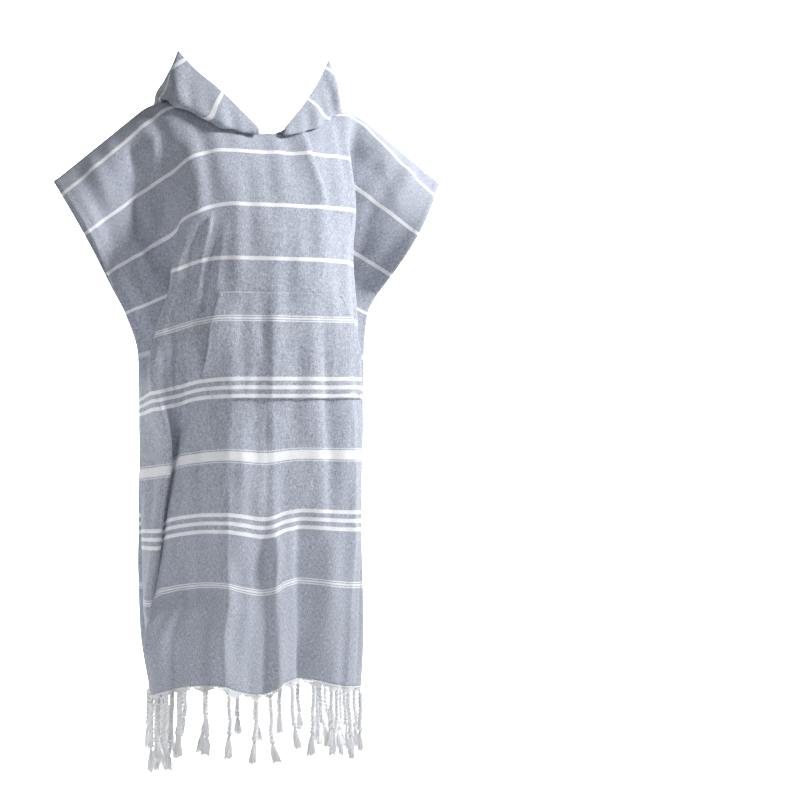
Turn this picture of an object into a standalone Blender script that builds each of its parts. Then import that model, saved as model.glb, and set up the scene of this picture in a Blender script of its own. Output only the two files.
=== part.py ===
"""Hooded bath poncho: striped flat-weave cotton, worn, with its hood down and fringed hems.

Metres, +Z up, the front faces -Y.  The origin is the middle of the neck on the shoulder line.
A place on a panel's cloth is (s, t): s across from its middle, + to +X, and t down from the
shoulder line.  A row of cloth (one t) leaves the middle of the panel, turns at every bend and
ends on the panel's edge, so each row keeps the length that it has on the flat cloth.
"""
import math

import bmesh
import bpy
import numpy as np

# ---- the cut, flat ----
HALF_WIDTH = 0.44
LENGTH = 1.115
ARMHOLE = 0.28
NECK_HALF = 0.15
NECK_FRONT = 0.095
NECK_BACK = 0.060
YOKE = 0.14

# ---- cloth and seams ----
WALL = 0.0016
SEAM = 0.0003

# ---- where the sleeve's tip and the foot of the armhole hang ----
TIPS = {"left": (-0.398, -0.012, -0.156), "right": (0.398, -0.012, -0.128)}
UNDERARMS = {"left": (-0.275, 0.004, -0.350), "right": (0.272, 0.004, -0.342)}
# How far each cuff edge bows away from the straight line between the two.
CUFF_BOWS = {
    ("front", "left"): (-0.016, -0.062, 0.002),
    ("front", "right"): (-0.008, -0.048, 0.000),
    ("back", "left"): (0.026, 0.058, 0.006),
    ("back", "right"): (-0.026, 0.062, 0.006),
}

# ---- the middle line of each panel ----
MIDDLE_COLUMNS = ("t", "y", "z")
MIDDLE = {
    "front": (
        (0.000, 0.000, 0.000),
        (0.030, -0.028, -0.007),
        (0.060, -0.052, -0.027),
        (0.095, -0.071, -0.057),
        (0.135, -0.091, -0.093),
        (0.236, -0.124, -0.192),
        (0.335, -0.138, -0.290),
        (0.600, -0.142, -0.555),
        (0.900, -0.136, -0.855),
        (1.115, -0.130, -1.070),
    ),
    "back": (
        (0.000, 0.000, 0.000),
        (0.030, 0.028, -0.007),
        (0.060, 0.050, -0.028),
        (0.135, 0.091, -0.093),
        (0.236, 0.122, -0.194),
        (0.335, 0.134, -0.292),
        (0.600, 0.134, -0.557),
        (0.900, 0.126, -0.857),
        (1.115, 0.122, -1.072),
    ),
}

# ---- the side seams, below the armholes ----
SEAM_LINE_COLUMNS = ("t", "x", "y", "z")
SEAM_LINE = {
    "left": (
        (0.280, -0.275, 0.004, -0.350),
        (0.335, -0.248, 0.016, -0.388),
        (0.444, -0.218, 0.026, -0.470),
        (0.568, -0.203, 0.028, -0.576),
        (0.818, -0.197, 0.028, -0.812),
        (1.115, -0.184, 0.024, -1.090),
    ),
    "right": (
        (0.280, 0.272, 0.004, -0.342),
        (0.335, 0.252, 0.008, -0.382),
        (0.444, 0.246, 0.012, -0.466),
        (0.568, 0.245, 0.014, -0.574),
        (0.694, 0.230, 0.014, -0.690),
        (0.818, 0.218, 0.016, -0.812),
        (1.115, 0.208, 0.016, -1.090),
    ),
}

# ---- where a row starts to sink toward its edge, as a share of its half width ----
SINK_COLUMNS = ("t", "left", "right")
SINK = (
    (0.000, 0.36, 0.42),
    (0.135, 0.22, 0.36),
    (0.236, 0.22, 0.40),
    (0.335, 0.26, 0.36),
    (0.568, 0.26, 0.36),
    (1.115, 0.40, 0.50),
)

# ---- bends: folds that run down the cloth, one table each ----
# At a bend a row turns toward the other panel by "turn" degrees over twice "spread",
# and sinks by "drop" below the even fall to its edge.
BEND_COLUMNS = ("t", "s", "turn", "spread", "drop")
BENDS = {
    ("front", "right"): {
        "chest": ((0.0, 0.10, 0, 0.10, 0), (0.14, 0.10, 30, 0.10, 0), (0.335, 0.10, 42, 0.10, 0),
                  (1.115, 0.10, 34, 0.10, 0)),
        "edge": ((0.03, 0.195, 0, 0.020, 0), (0.10, 0.196, 50, 0.020, 0),
                 (0.28, 0.200, 125, 0.018, 0), (0.60, 0.205, 120, 0.018, 0),
                 (1.115, 0.225, 80, 0.025, 0)),
        "back_out": ((0.03, 0.225, 0, 0.025, 0), (0.10, 0.235, -75, 0.025, 0),
                     (0.28, 0.290, -165, 0.022, 0), (0.45, 0.300, -140, 0.022, 0),
                     (1.115, 0.300, -60, 0.03, 0)),
    },
    ("front", "left"): {
        "chest": ((0.0, 0.11, 0, 0.11, 0), (0.14, 0.10, 16, 0.10, 0), (1.115, 0.10, 14, 0.10, 0)),
        "ridge_in": ((0.40, 0.185, 0, 0.03, 0), (0.568, 0.175, 35, 0.025, 0),
                     (0.694, 0.228, 50, 0.020, 0), (0.93, 0.268, 60, 0.020, 0),
                     (1.115, 0.290, 40, 0.03, 0)),
        "ridge_out": ((0.40, 0.210, 0, 0.03, 0), (0.568, 0.205, -60, 0.025, 0.008),
                      (0.694, 0.252, -115, 0.020, 0.028), (0.93, 0.292, -115, 0.020, 0.022),
                      (1.115, 0.315, -60, 0.03, 0.0)),
        "edge": ((0.03, 0.20, 0, 0.05, 0), (0.14, 0.20, 40, 0.05, 0), (0.25, 0.215, 90, 0.040, 0),
                 (0.335, 0.235, 150, 0.022, 0), (0.444, 0.283, 150, 0.022, 0),
                 (0.568, 0.300, 120, 0.030, 0), (0.694, 0.300, 90, 0.024, 0),
                 (0.93, 0.332, 110, 0.022, 0), (1.115, 0.350, 80, 0.03, 0)),
        "back_out": ((0.03, 0.26, 0, 0.05, 0), (0.14, 0.26, -55, 0.05, 0),
                     (0.25, 0.275, -100, 0.040, 0), (0.335, 0.295, -150, 0.022, 0),
                     (0.444, 0.345, -130, 0.025, 0), (0.568, 0.370, -50, 0.025, 0),
                     (0.694, 0.385, 15, 0.03, 0), (1.115, 0.40, 20, 0.03, 0)),
    },
    ("back", "right"): {
        "blade": ((0.0, 0.11, 0, 0.11, 0), (0.14, 0.11, 24, 0.11, 0), (1.115, 0.11, 30, 0.11, 0)),
        "edge": ((0.03, 0.20, 0, 0.05, 0), (0.14, 0.20, 45, 0.04, 0), (0.28, 0.22, 125, 0.03, 0),
                 (0.60, 0.225, 130, 0.022, 0), (1.115, 0.23, 90, 0.025, 0)),
        "back_out": ((0.03, 0.25, 0, 0.04, 0), (0.14, 0.27, -60, 0.04, 0),
                     (0.28, 0.30, -145, 0.03, 0), (0.45, 0.32, -120, 0.025, 0),
                     (1.115, 0.33, -50, 0.03, 0)),
    },
    ("back", "left"): {
        "blade": ((0.0, 0.10, 0, 0.10, 0), (0.14, 0.10, 30, 0.10, 0), (0.60, 0.10, 42, 0.10, 0),
                  (1.115, 0.10, 50, 0.10, 0)),
        "edge": ((0.03, 0.20, 0, 0.03, 0), (0.14, 0.20, 50, 0.03, 0), (0.28, 0.200, 125, 0.025, 0),
                 (0.60, 0.200, 110, 0.02, 0), (1.115, 0.200, 70, 0.025, 0)),
        "back_out": ((0.03, 0.24, 0, 0.03, 0), (0.14, 0.26, -70, 0.03, 0),
                     (0.28, 0.30, -155, 0.025, 0), (0.45, 0.30, -130, 0.025, 0),
                     (1.115, 0.30, -50, 0.03, 0)),
    },
}

# ---- hood, worn down: its brim, and how far its fold lies beyond the neck seam ----
# "turn" goes round the neck in degrees, from the middle of the front to the middle of the back.
BRIM_COLUMNS = ("turn", "x", "y", "z")
BRIM = {
    "left": {
        "rising": ((8, -0.021, -0.079, -0.049), (35, -0.083, -0.050, 0.019),
                   (60, -0.124, -0.020, 0.062), (78, -0.148, 0.000, 0.0925)),
        "falling": ((78, -0.148, 0.000, 0.0925), (95, -0.152, 0.045, 0.045),
                    (120, -0.132, 0.088, -0.006), (145, -0.085, 0.118, -0.036),
                    (180, 0.000, 0.134, -0.046)),
    },
    "right": {
        "rising": ((8, 0.027, -0.079, -0.0485), (35, 0.086, -0.050, 0.0065),
                   (60, 0.132, -0.020, 0.053), (78, 0.161, 0.000, 0.091)),
        "falling": ((78, 0.161, 0.000, 0.091), (95, 0.161, 0.045, 0.046),
                    (120, 0.142, 0.088, -0.004), (145, 0.098, 0.118, -0.037),
                    (180, 0.000, 0.134, -0.046)),
    },
}
BRIM_TIP = 78
HOOD_FOLD_COLUMNS = ("turn", "reach", "belly")
HOOD_FOLD = (
    (8, 0.004, 0.000),
    (35, 0.020, 0.004),
    (60, 0.036, 0.006),
    (90, 0.046, 0.008),
    (120, 0.090, 0.018),
    (150, 0.150, 0.034),
    (180, 0.180, 0.042),
)
HOOD_START = {"left": 8.4, "right": 10.4}
NECK_TURNS = (20, 34, 48, 60, 70, 80, 90)
HOOD_CLEAR = 0.0045
HOOD_ROLL = 0.006
HOOD_RISE = 0.004
HOOD_CELLS = (1, 1, 1, 1, 1, 1, 1, 2, 2)

# ---- pocket: half its width at each level of the front panel ----
POCKET_COLUMNS = ("t", "half")
POCKET = ((0.396, 0.138), (0.535, 0.190), (0.552, 0.188), (0.566, 0.176), (0.604, 0.176))
POCKET_PUFF = 0.003
POCKET_GAP = 0.0007

# ---- fringe ----
FRINGES = 18
STRIP_HEIGHT = 0.007
ROPE_HALF = 0.0030
STRAND_COLUMNS = ("down", "half_across", "half_deep")
STRAND = (
    (0.012, 0.0030, 0.0030),
    (0.045, 0.0030, 0.0030),
    (0.078, 0.0030, 0.0030),
    (0.086, 0.0050, 0.0048),
    (0.094, 0.0034, 0.0034),
    (0.124, 0.0075, 0.0050),
)
STRAND_SWAY = 0.006

ROW_STEPS = 176
YOKE_STEPS = 28
YOKE_ROWS = 5
MITRE_LIMIT = 0.45
SHOULDER_ROUND = 0.02


def column(rows, names, name):
    """One named column of a table as an array."""
    return np.array([row[names.index(name)] for row in rows], dtype=float)


def smooth_through(knots, values, at):
    """A smooth curve through the knots that never swings past them."""
    at = np.clip(np.asarray(at, dtype=float), knots[0], knots[-1])
    spans = np.diff(knots)
    slopes = np.diff(values) / spans
    tangents = np.zeros(len(knots))
    tangents[0] = slopes[0]
    tangents[-1] = slopes[-1]
    for k in range(1, len(knots) - 1):
        if slopes[k - 1] * slopes[k] > 0.0:
            before = 2.0 * spans[k] + spans[k - 1]
            after = spans[k] + 2.0 * spans[k - 1]
            tangents[k] = (before + after) / (before / slopes[k - 1] + after / slopes[k])
    cell = np.clip(np.searchsorted(knots, at, side="right") - 1, 0, len(spans) - 1)
    u = (at - knots[cell]) / spans[cell]
    h = spans[cell]
    return ((1 + 2 * u) * (1 - u) ** 2 * values[cell] + u * (1 - u) ** 2 * h * tangents[cell]
            + u * u * (3 - 2 * u) * values[cell + 1] + u * u * (u - 1) * h * tangents[cell + 1])


def look_up(rows, names, name, at):
    return smooth_through(column(rows, names, names[0]), column(rows, names, name), at)


def ease(x):
    """0 before -1, 1 after +1, and a half wave between."""
    return 0.5 * (1.0 + np.sin(0.5 * math.pi * np.clip(x, -1.0, 1.0)))


def middle_point(face, t):
    rows = MIDDLE[face]
    return np.array([0.0, float(look_up(rows, MIDDLE_COLUMNS, "y", t)),
                     float(look_up(rows, MIDDLE_COLUMNS, "z", t))])


def edge_point(face, side, t):
    """A panel's edge: the cuff above the underarm, the side seam below it."""
    if t >= ARMHOLE:
        rows = SEAM_LINE[side]
        return np.array([float(look_up(rows, SEAM_LINE_COLUMNS, name, t)) for name in "xyz"])
    share = t / ARMHOLE
    bulge = np.array(CUFF_BOWS[(face, side)])
    straight = (1.0 - share) * np.array(TIPS[side]) + share * np.array(UNDERARMS[side])
    return straight + bulge * math.sin(math.pi * share)


def bent_row(face, side, t, across):
    """Points at the distances `across` from the middle, bent as the tables say."""
    s = np.linspace(0.0, HALF_WIDTH, ROW_STEPS + 1)
    start = middle_point(face, t)
    end = edge_point(face, side, t)
    sink_from = float(look_up(SINK, SINK_COLUMNS, side, t))
    ramp = np.clip((s / HALF_WIDTH - sink_from) / (1.0 - sink_from), 0.0, 1.0)
    soft = 0.25
    sink = np.where(ramp < soft, ramp * ramp / (2.0 * soft), ramp - soft / 2.0) / (1.0 - soft / 2.0)
    heading = np.zeros_like(s)
    drops = np.zeros_like(s)
    for bend in BENDS[(face, side)].values():
        at = float(look_up(bend, BEND_COLUMNS, "s", t))
        turn = math.radians(float(look_up(bend, BEND_COLUMNS, "turn", t)))
        spread = float(look_up(bend, BEND_COLUMNS, "spread", t))
        drop = float(look_up(bend, BEND_COLUMNS, "drop", t))
        heading += turn * ease((s - at) / spread)
        drops += drop * ease((s - at) / (1.5 * spread))
    z = start[2] - drops + (end[2] - start[2] + drops[-1]) * sink
    step = s[1] - s[0]
    level = np.sqrt(np.maximum(step ** 2 - np.diff(z) ** 2, 0.0))
    mid_heading = 0.5 * (heading[1:] + heading[:-1])
    out = 1.0 if side == "right" else -1.0
    back = 1.0 if face == "front" else -1.0
    x = np.concatenate([[0.0], np.cumsum(level * np.cos(mid_heading))]) * out
    y = start[1] + np.concatenate([[0.0], np.cumsum(level * np.sin(mid_heading))]) * back
    weight = (s / HALF_WIDTH) ** 1.5
    x += (end[0] - x[-1]) * weight
    y += (end[1] - y[-1]) * weight
    return np.stack([np.interp(across, s, values) for values in (x, y, z)], axis=-1)


def row_of_cloth(face, side, t, across):
    """One row of a half panel; near the shoulder both panels ease onto one line."""
    row = bent_row(face, side, t, across)
    if t < SHOULDER_ROUND:
        other = "back" if face == "front" else "front"
        apart = bent_row(other, side, 0.0, across) - bent_row(face, side, 0.0, across)
        row += 0.5 * apart * (1.0 - t / SHOULDER_ROUND) ** 2
    return row


def cloth_point(face, s, t):
    """One point of a panel's middle surface."""
    side = "right" if s >= 0.0 else "left"
    return row_of_cloth(face, side, t, np.array([abs(s)]))[0]


def unit(vectors):
    return vectors / np.maximum(np.linalg.norm(vectors, axis=-1, keepdims=True), 1e-12)


def cloth_normal(face, s, t, reach=0.004):
    """The way out of a panel at one point, away from the wearer."""
    across = cloth_point(face, s + reach, t) - cloth_point(face, s - reach, t)
    up = max(t - reach, 0.0)
    down = cloth_point(face, s, t + reach) - cloth_point(face, s, up)
    normal = unit(np.cross(across, down))
    return -normal if face == "front" else normal


def neck_top(face, s):
    """How far below the shoulder line a panel starts at s."""
    depth = NECK_FRONT if face == "front" else NECK_BACK
    inside = np.clip(1.0 - (np.abs(s) / NECK_HALF) ** 2, 0.0, None)
    return depth * np.sqrt(inside)


def panel_grid(face, stations, yoke_rows, body_levels):
    """Middle surface of a panel, rows down and columns across, and the level of each point."""
    tops = neck_top(face, stations)
    levels = [tops + (YOKE - tops) * k / yoke_rows for k in range(yoke_rows)]
    levels += [np.full(len(stations), level) for level in body_levels]
    levels = np.array(levels)
    grid = np.zeros(levels.shape + (3,))
    fine = np.linspace(0.0, YOKE, YOKE_STEPS + 1)
    for side, mask in (("left", stations < 0.0), ("right", stations >= 0.0)):
        across = np.abs(stations[mask])
        table = np.array([row_of_cloth(face, side, t, across) for t in fine])
        for n, j in enumerate(np.flatnonzero(mask)):
            for axis in range(3):
                grid[:yoke_rows, j, axis] = np.interp(levels[:yoke_rows, j], fine, table[:, n, axis])
        for i, level in enumerate(body_levels):
            grid[yoke_rows + i, mask] = row_of_cloth(face, side, level, across)
    return grid, levels


def outward(grid, face):
    """Unit normals of a panel grid, away from the wearer."""
    normals = unit(np.cross(np.gradient(grid, axis=1), np.gradient(grid, axis=0)))
    return -normals if face == "front" else normals


def mitre(point, own, other, along, toward_front):
    """Outer and inner corner of a wall's edge where it meets its neighbour at a seam."""
    split = unit(own + other)
    side = unit(np.cross(along, split))
    if side @ toward_front < 0.0:
        side = -side
    lean = max(float(split @ own), MITRE_LIMIT)
    half = 0.5 * WALL / lean
    return point + split * half + side * SEAM / 2.0, point - split * half + side * SEAM / 2.0


# ---- END OF SHAPE ----


def closed_sheet(outer, inner):
    """Vertices and faces of a wall between two grids of the same shape."""
    rows, columns = outer.shape[:2]
    count = rows * columns
    points = np.concatenate([outer.reshape(-1, 3), inner.reshape(-1, 3)])

    def at(i, j, layer):
        return layer * count + i * columns + j

    faces = []
    for i in range(rows - 1):
        for j in range(columns - 1):
            faces.append((at(i, j, 0), at(i + 1, j, 0), at(i + 1, j + 1, 0), at(i, j + 1, 0)))
            faces.append((at(i, j, 1), at(i, j + 1, 1), at(i + 1, j + 1, 1), at(i + 1, j, 1)))
    for j in range(columns - 1):
        faces.append((at(0, j, 0), at(0, j + 1, 0), at(0, j + 1, 1), at(0, j, 1)))
        last = rows - 1
        faces.append((at(last, j, 0), at(last, j, 1), at(last, j + 1, 1), at(last, j + 1, 0)))
    for i in range(rows - 1):
        faces.append((at(i, 0, 0), at(i, 0, 1), at(i + 1, 0, 1), at(i + 1, 0, 0)))
        last = columns - 1
        faces.append((at(i, last, 0), at(i + 1, last, 0), at(i + 1, last, 1), at(i, last, 1)))
    return points, faces


def make_object(name, points, faces, material):
    mesh = bpy.data.meshes.new(name)
    mesh.from_pydata([tuple(map(float, point)) for point in points], [], faces)
    mesh.validate()
    built = bmesh.new()
    built.from_mesh(mesh)
    bmesh.ops.triangulate(built, faces=built.faces, quad_method="SHORT_EDGE")
    bmesh.ops.recalc_face_normals(built, faces=built.faces)
    built.to_mesh(mesh)
    built.free()
    mesh.shade_smooth()
    mesh.set_sharp_from_angle(angle=math.radians(50))
    mesh.materials.append(material)
    item = bpy.data.objects.new(name, mesh)
    bpy.context.collection.objects.link(item)
    return item


def make_material(name, colour, roughness):
    material = bpy.data.materials.new(name)
    material.use_nodes = True
    shader = material.node_tree.nodes["Principled BSDF"]
    shader.inputs["Base Color"].default_value = (*colour, 1.0)
    shader.inputs["Roughness"].default_value = roughness
    shader.inputs["Metallic"].default_value = 0.0
    return material


def half_stations(side):
    """Places across half a panel: the neck's own, then closer where the side folds are."""
    neck = NECK_HALF * np.sin(np.radians((0, HOOD_START[side]) + NECK_TURNS))
    return np.concatenate([neck, np.linspace(NECK_HALF, 0.35, 15)[1:],
                           np.linspace(0.35, HALF_WIDTH, 6)[1:]])


def across_stations():
    return np.concatenate([-half_stations("left")[:0:-1], half_stations("right")])


def body_levels():
    """Levels down a panel below its yoke."""
    return np.concatenate([np.linspace(YOKE, ARMHOLE, 6)[:-1], np.linspace(ARMHOLE, 0.5, 7)[:-1],
                           np.linspace(0.5, LENGTH, 11)])


def panel_walls():
    """Outer and inner grids of the front and the back panel, mitred where they are sewn."""
    stations = across_stations()
    grids = {}
    for face in ("front", "back"):
        grids[face], levels = panel_grid(face, stations, YOKE_ROWS, body_levels())
    normals = {face: outward(grids[face], face) for face in grids}
    walls = {}
    for face, other in (("front", "back"), ("back", "front")):
        grid = grids[face]
        outer = grid + normals[face] * WALL / 2.0
        inner = grid - normals[face] * WALL / 2.0
        last = len(stations) - 1
        sewn = []
        for j in range(len(stations)):
            if abs(stations[j]) >= NECK_HALF - 1e-9:
                away = min(j + 1, last) if stations[j] > 0.0 else max(j - 1, 0)
                near = away - 1 if stations[j] > 0.0 else away + 1
                sewn.append((0, j, grid[0, away] - grid[0, near], grid[1, j] - grid[0, j]))
        for edge, inward in ((0, 1), (last, last - 1)):
            for i in range(YOKE_ROWS, len(levels)):
                if levels[i, edge] >= ARMHOLE - 1e-6:
                    sewn.append((i, edge, grid[i, edge] - grid[i - 1, edge],
                                 grid[i, inward] - grid[i, edge]))
        for i, j, along, own_way in sewn:
            outer[i, j], inner[i, j] = mitre(grid[i, j], normals[face][i, j],
                                             normals[other][i, j], along, own_way)
        walls[face] = (outer, inner)
    return walls


def round_neck(side, turn, reach):
    """A point beyond the neck seam by `reach`, and the way out of the cloth there."""
    angle = math.radians(turn)
    face = "front" if turn <= 90.0 else "back"
    depth = NECK_FRONT if face == "front" else NECK_BACK
    s = (NECK_HALF + reach) * math.sin(angle) * (1.0 if side == "right" else -1.0)
    t = (depth + reach) * abs(math.cos(angle))
    normal = cloth_normal(face, s, t)
    share = 0.5 * (1.0 - min(t / SHOULDER_ROUND, 1.0))
    if share > 0.0:
        other = "back" if face == "front" else "front"
        normal = unit(normal * (1.0 - share) + cloth_normal(other, s, t) * share)
    return cloth_point(face, s, t), normal


def brim_point(side, turn):
    part = "rising" if turn <= BRIM_TIP else "falling"
    rows = BRIM[side][part]
    return np.array([float(look_up(rows, BRIM_COLUMNS, name, turn)) for name in "xyz"])


def neck_seam(side, turn):
    """A point of the panels' neck edge, the way off the cloth and the way out of it."""
    edge, out = round_neck(side, turn, 0.0)
    inside = round_neck(side, turn, 0.006)[0]
    away = unit(edge - inside)
    away = unit(away - out * (away @ out))
    return edge, away, out


def hood_section(side, turn):
    """Stations of the hood from the neck seam, over its fold, up to its brim."""
    reach = float(look_up(HOOD_FOLD, HOOD_FOLD_COLUMNS, "reach", turn))
    belly = float(look_up(HOOD_FOLD, HOOD_FOLD_COLUMNS, "belly", turn))
    roll = HOOD_ROLL * float(np.clip(reach / 0.02, 0.4, 1.0))
    edge, away, out = neck_seam(side, turn)
    stations = [edge + away * SEAM, edge + away * HOOD_RISE + out * HOOD_CLEAR / 2.0]
    for beyond, lift in ((0.15 * reach, 0.0), (0.4 * reach, 0.0), (0.7 * reach, 0.002),
                         (reach, 0.002), (reach + roll, roll), (reach + roll / 3.0, 2.0 * roll)):
        point, normal = round_neck(side, turn, beyond)
        stations.append(point + normal * (HOOD_CLEAR + lift))
    brim = brim_point(side, turn)
    outside = unit(np.array([brim[0], brim[1], 0.0]))
    stations.append(0.5 * (stations[-1] + brim) + outside * belly)
    stations.append(brim)
    return stations


def curve_through(knots, cells):
    """Points of a smooth curve through the knots, with so many cells in each span."""
    knots = np.array(knots)
    spans = np.sqrt(np.linalg.norm(np.diff(knots, axis=0), axis=1))[:, None]
    slopes = np.diff(knots, axis=0) / spans
    inner = (slopes[:-1] * spans[1:] + slopes[1:] * spans[:-1]) / (spans[:-1] + spans[1:])
    tangents = np.concatenate([slopes[:1], inner, slopes[-1:]])
    points = []
    for k, count in enumerate(cells):
        for u in np.arange(count) / count:
            points.append((1 + 2 * u) * (1 - u) ** 2 * knots[k]
                          + u * (1 - u) ** 2 * spans[k] * tangents[k]
                          + u * u * (3 - 2 * u) * knots[k + 1]
                          + u * u * (u - 1) * spans[k] * tangents[k + 1])
    return np.array(points + [knots[-1]])


def hood_grid(side, turns, cells):
    """Middle surface of one half of the hood: rows out from the seam, columns round the neck."""
    columns = [curve_through(hood_section(side, turn), cells) for turn in turns]
    return np.array(columns).transpose(1, 0, 2)


def hood_turns(side):
    """Columns of the hood, at the panels' own neck columns."""
    front = [HOOD_START[side], *NECK_TURNS]
    return front + [180 - turn for turn in front[-2::-1]] + [180]


def neck_corners(side, walls):
    """Outer and inner corners of the panels' neck edges, at the hood's columns."""
    middle = len(half_stations("left")) - 1
    way = 1 if side == "right" else -1
    last = len(NECK_TURNS) + 1
    corners = []
    for layer in (0, 1):
        front = [walls["front"][layer][0, middle + way * k] for k in range(1, last + 1)]
        back = [walls["back"][layer][0, middle + way * k] for k in range(last, -1, -1)]
        corners.append(np.array([*front[:-1], 0.5 * (front[-1] + back[0]), *back[1:]]))
    return corners


def build_hood_half(side, walls, material):
    turns = hood_turns(side)
    grid = hood_grid(side, turns, HOOD_CELLS)
    normals = unit(np.cross(np.gradient(grid, axis=1), np.gradient(grid, axis=0)))
    seams = [neck_seam(side, turn) for turn in turns]
    facing = -1.0 if normals[3, 8] @ seams[8][2] > 0.0 else 1.0
    outer = grid + facing * normals * WALL / 2.0
    inner = grid - facing * normals * WALL / 2.0
    aways = np.array([away for edge, away, out in seams])
    for layer, corners in zip((outer, inner), neck_corners(side, walls)):
        layer[0] = corners + aways * SEAM
    hand = 1.0 if side == "right" else -1.0
    for layer in (outer, inner):
        layer[:, -1, 0] = hand * SEAM / 2.0
        layer[:, :-1, 0] = hand * np.maximum(hand * layer[:, :-1, 0], SEAM)
    return make_object("hood_" + side, *closed_sheet(outer, inner), material)


def build_pocket(material):
    """The pocket, made from the front panel's points and moved out."""
    levels = np.linspace(POCKET[0][0], POCKET[-1][0], 10)
    shares = np.linspace(-1.0, 1.0, 21)
    outer = np.zeros((len(levels), len(shares), 3))
    inner = np.zeros_like(outer)
    for i, t in enumerate(levels):
        half = float(np.interp(t, column(POCKET, POCKET_COLUMNS, "t"),
                               column(POCKET, POCKET_COLUMNS, "half")))
        for j, share in enumerate(shares):
            s = half * share
            opening = max(0.0, abs(share) - 0.6) / 0.4 * math.sin(math.pi * i / (len(levels) - 1))
            lift = WALL + POCKET_GAP + POCKET_PUFF * opening
            base = cloth_point("front", s, t)
            normal = cloth_normal("front", s, t)
            inner[i, j] = base + normal * (lift - WALL / 2.0)
            outer[i, j] = base + normal * (lift + WALL / 2.0)
    return make_object("pocket", *closed_sheet(outer, inner), material)


def hem_frames(face):
    """Places along a hem strip: each fringe has a short cell, with long cells between."""
    pitch = 2.0 * HALF_WIDTH / FRINGES
    places = [-HALF_WIDTH + 0.004]
    for k in range(FRINGES):
        middle = -HALF_WIDTH + (k + 0.5) * pitch
        places += [middle - pitch / 4.0, middle - ROPE_HALF, middle + ROPE_HALF,
                   middle + pitch / 4.0]
        if k < FRINGES - 1:
            places.append(middle + pitch / 2.0)
    places.append(HALF_WIDTH - 0.004)
    points = np.array([cloth_point(face, s, LENGTH) for s in places])
    normals = np.array([cloth_normal(face, s, LENGTH - 0.004) for s in places])
    normals[:, 2] = 0.0
    return points, unit(normals)


def build_fringe(face, material):
    """A narrow strip under the hem and the strands that hang from it, in one body."""
    points, normals = hem_frames(face)
    count = len(points)
    down = np.array([0.0, 0.0, -1.0])
    corners = []
    for drop in (SEAM, STRIP_HEIGHT):
        for way in (0.5, -0.5):
            corners.append(points + normals * WALL * way + down * drop)
    vertices = [tuple(p) for ring in corners for p in ring]
    faces = []

    def at(ring, j):
        return ring * count + j

    top_out, top_in, low_out, low_in = range(4)
    strands = [j for j in range(2, count - 1) if (j - 2) % 5 == 0]
    for j in range(count - 1):
        faces.append((at(top_out, j), at(top_out, j + 1), at(low_out, j + 1), at(low_out, j)))
        faces.append((at(top_in, j), at(low_in, j), at(low_in, j + 1), at(top_in, j + 1)))
        faces.append((at(top_out, j), at(top_in, j), at(top_in, j + 1), at(top_out, j + 1)))
        if j not in strands:
            faces.append((at(low_out, j), at(low_out, j + 1), at(low_in, j + 1), at(low_in, j)))
    for j in (0, count - 1):
        faces.append((at(top_out, j), at(low_out, j), at(low_in, j), at(top_in, j)))
    for k, j in enumerate(strands):
        ring = [at(low_out, j), at(low_out, j + 1), at(low_in, j + 1), at(low_in, j)]
        root = 0.5 * (points[j] + points[j + 1]) + down * STRIP_HEIGHT
        across = unit(points[j + 1] - points[j])
        across[2] = 0.0
        deep = normals[j]
        for drop, half_across, half_deep in STRAND:
            sway = STRAND_SWAY * (drop / STRAND[-1][0]) ** 2
            middle = (root + down * drop - across * sway * math.sin(2.3 * k)
                      + deep * sway * (0.6 + 0.4 * math.cos(3.1 * k)))
            start = len(vertices)
            for a, b in ((-1, 1), (1, 1), (1, -1), (-1, -1)):
                vertices.append(tuple(middle + across * half_across * a + deep * half_deep * b))
            fresh = [start, start + 1, start + 2, start + 3]
            for m in range(4):
                n = (m + 1) % 4
                faces.append((ring[m], ring[n], fresh[n], fresh[m]))
            ring = fresh
        faces.append(tuple(ring))
    return make_object("fringe_" + face, vertices, faces, material)


def build():
    for item in list(bpy.data.objects):
        bpy.data.objects.remove(item, do_unlink=True)
    cloth = {name: make_material(name + "_cloth", (0.36, 0.40, 0.47), 0.9)
             for name in ("front", "back", "hood_left", "hood_right", "pocket")}
    yarn = {name: make_material(name + "_yarn", (0.86, 0.87, 0.90), 0.9)
            for name in ("fringe_front", "fringe_back")}
    walls = panel_walls()
    for face in ("front", "back"):
        make_object(face, *closed_sheet(*walls[face]), cloth[face])
        build_fringe(face, yarn["fringe_" + face])
    for side in ("left", "right"):
        build_hood_half(side, walls, cloth["hood_" + side])
    build_pocket(cloth["pocket"])


build()
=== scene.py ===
"""Hooded bath poncho of striped flat-weave cotton, worn, with its hood folded back.

The cloth is laid out in its own coordinates, s across a panel and t down it from the shoulder,
and each row is bent round the folds at its true length. Metres, +Z up, front toward -Y.
"""
import math

import bpy
import numpy as np
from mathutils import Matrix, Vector


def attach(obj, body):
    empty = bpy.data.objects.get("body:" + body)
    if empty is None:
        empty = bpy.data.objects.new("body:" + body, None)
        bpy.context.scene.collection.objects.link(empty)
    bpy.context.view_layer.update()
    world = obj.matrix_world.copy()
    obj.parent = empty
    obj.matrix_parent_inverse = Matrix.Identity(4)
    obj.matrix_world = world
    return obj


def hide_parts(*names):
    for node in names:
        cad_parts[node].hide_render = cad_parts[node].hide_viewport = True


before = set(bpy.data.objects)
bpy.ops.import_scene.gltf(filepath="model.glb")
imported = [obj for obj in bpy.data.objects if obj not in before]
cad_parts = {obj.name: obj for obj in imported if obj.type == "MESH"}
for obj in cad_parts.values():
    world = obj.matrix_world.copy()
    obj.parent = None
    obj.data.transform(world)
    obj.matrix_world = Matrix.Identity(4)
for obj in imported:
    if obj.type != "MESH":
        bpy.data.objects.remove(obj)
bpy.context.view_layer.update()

HALF_WIDTH = 0.44
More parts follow.
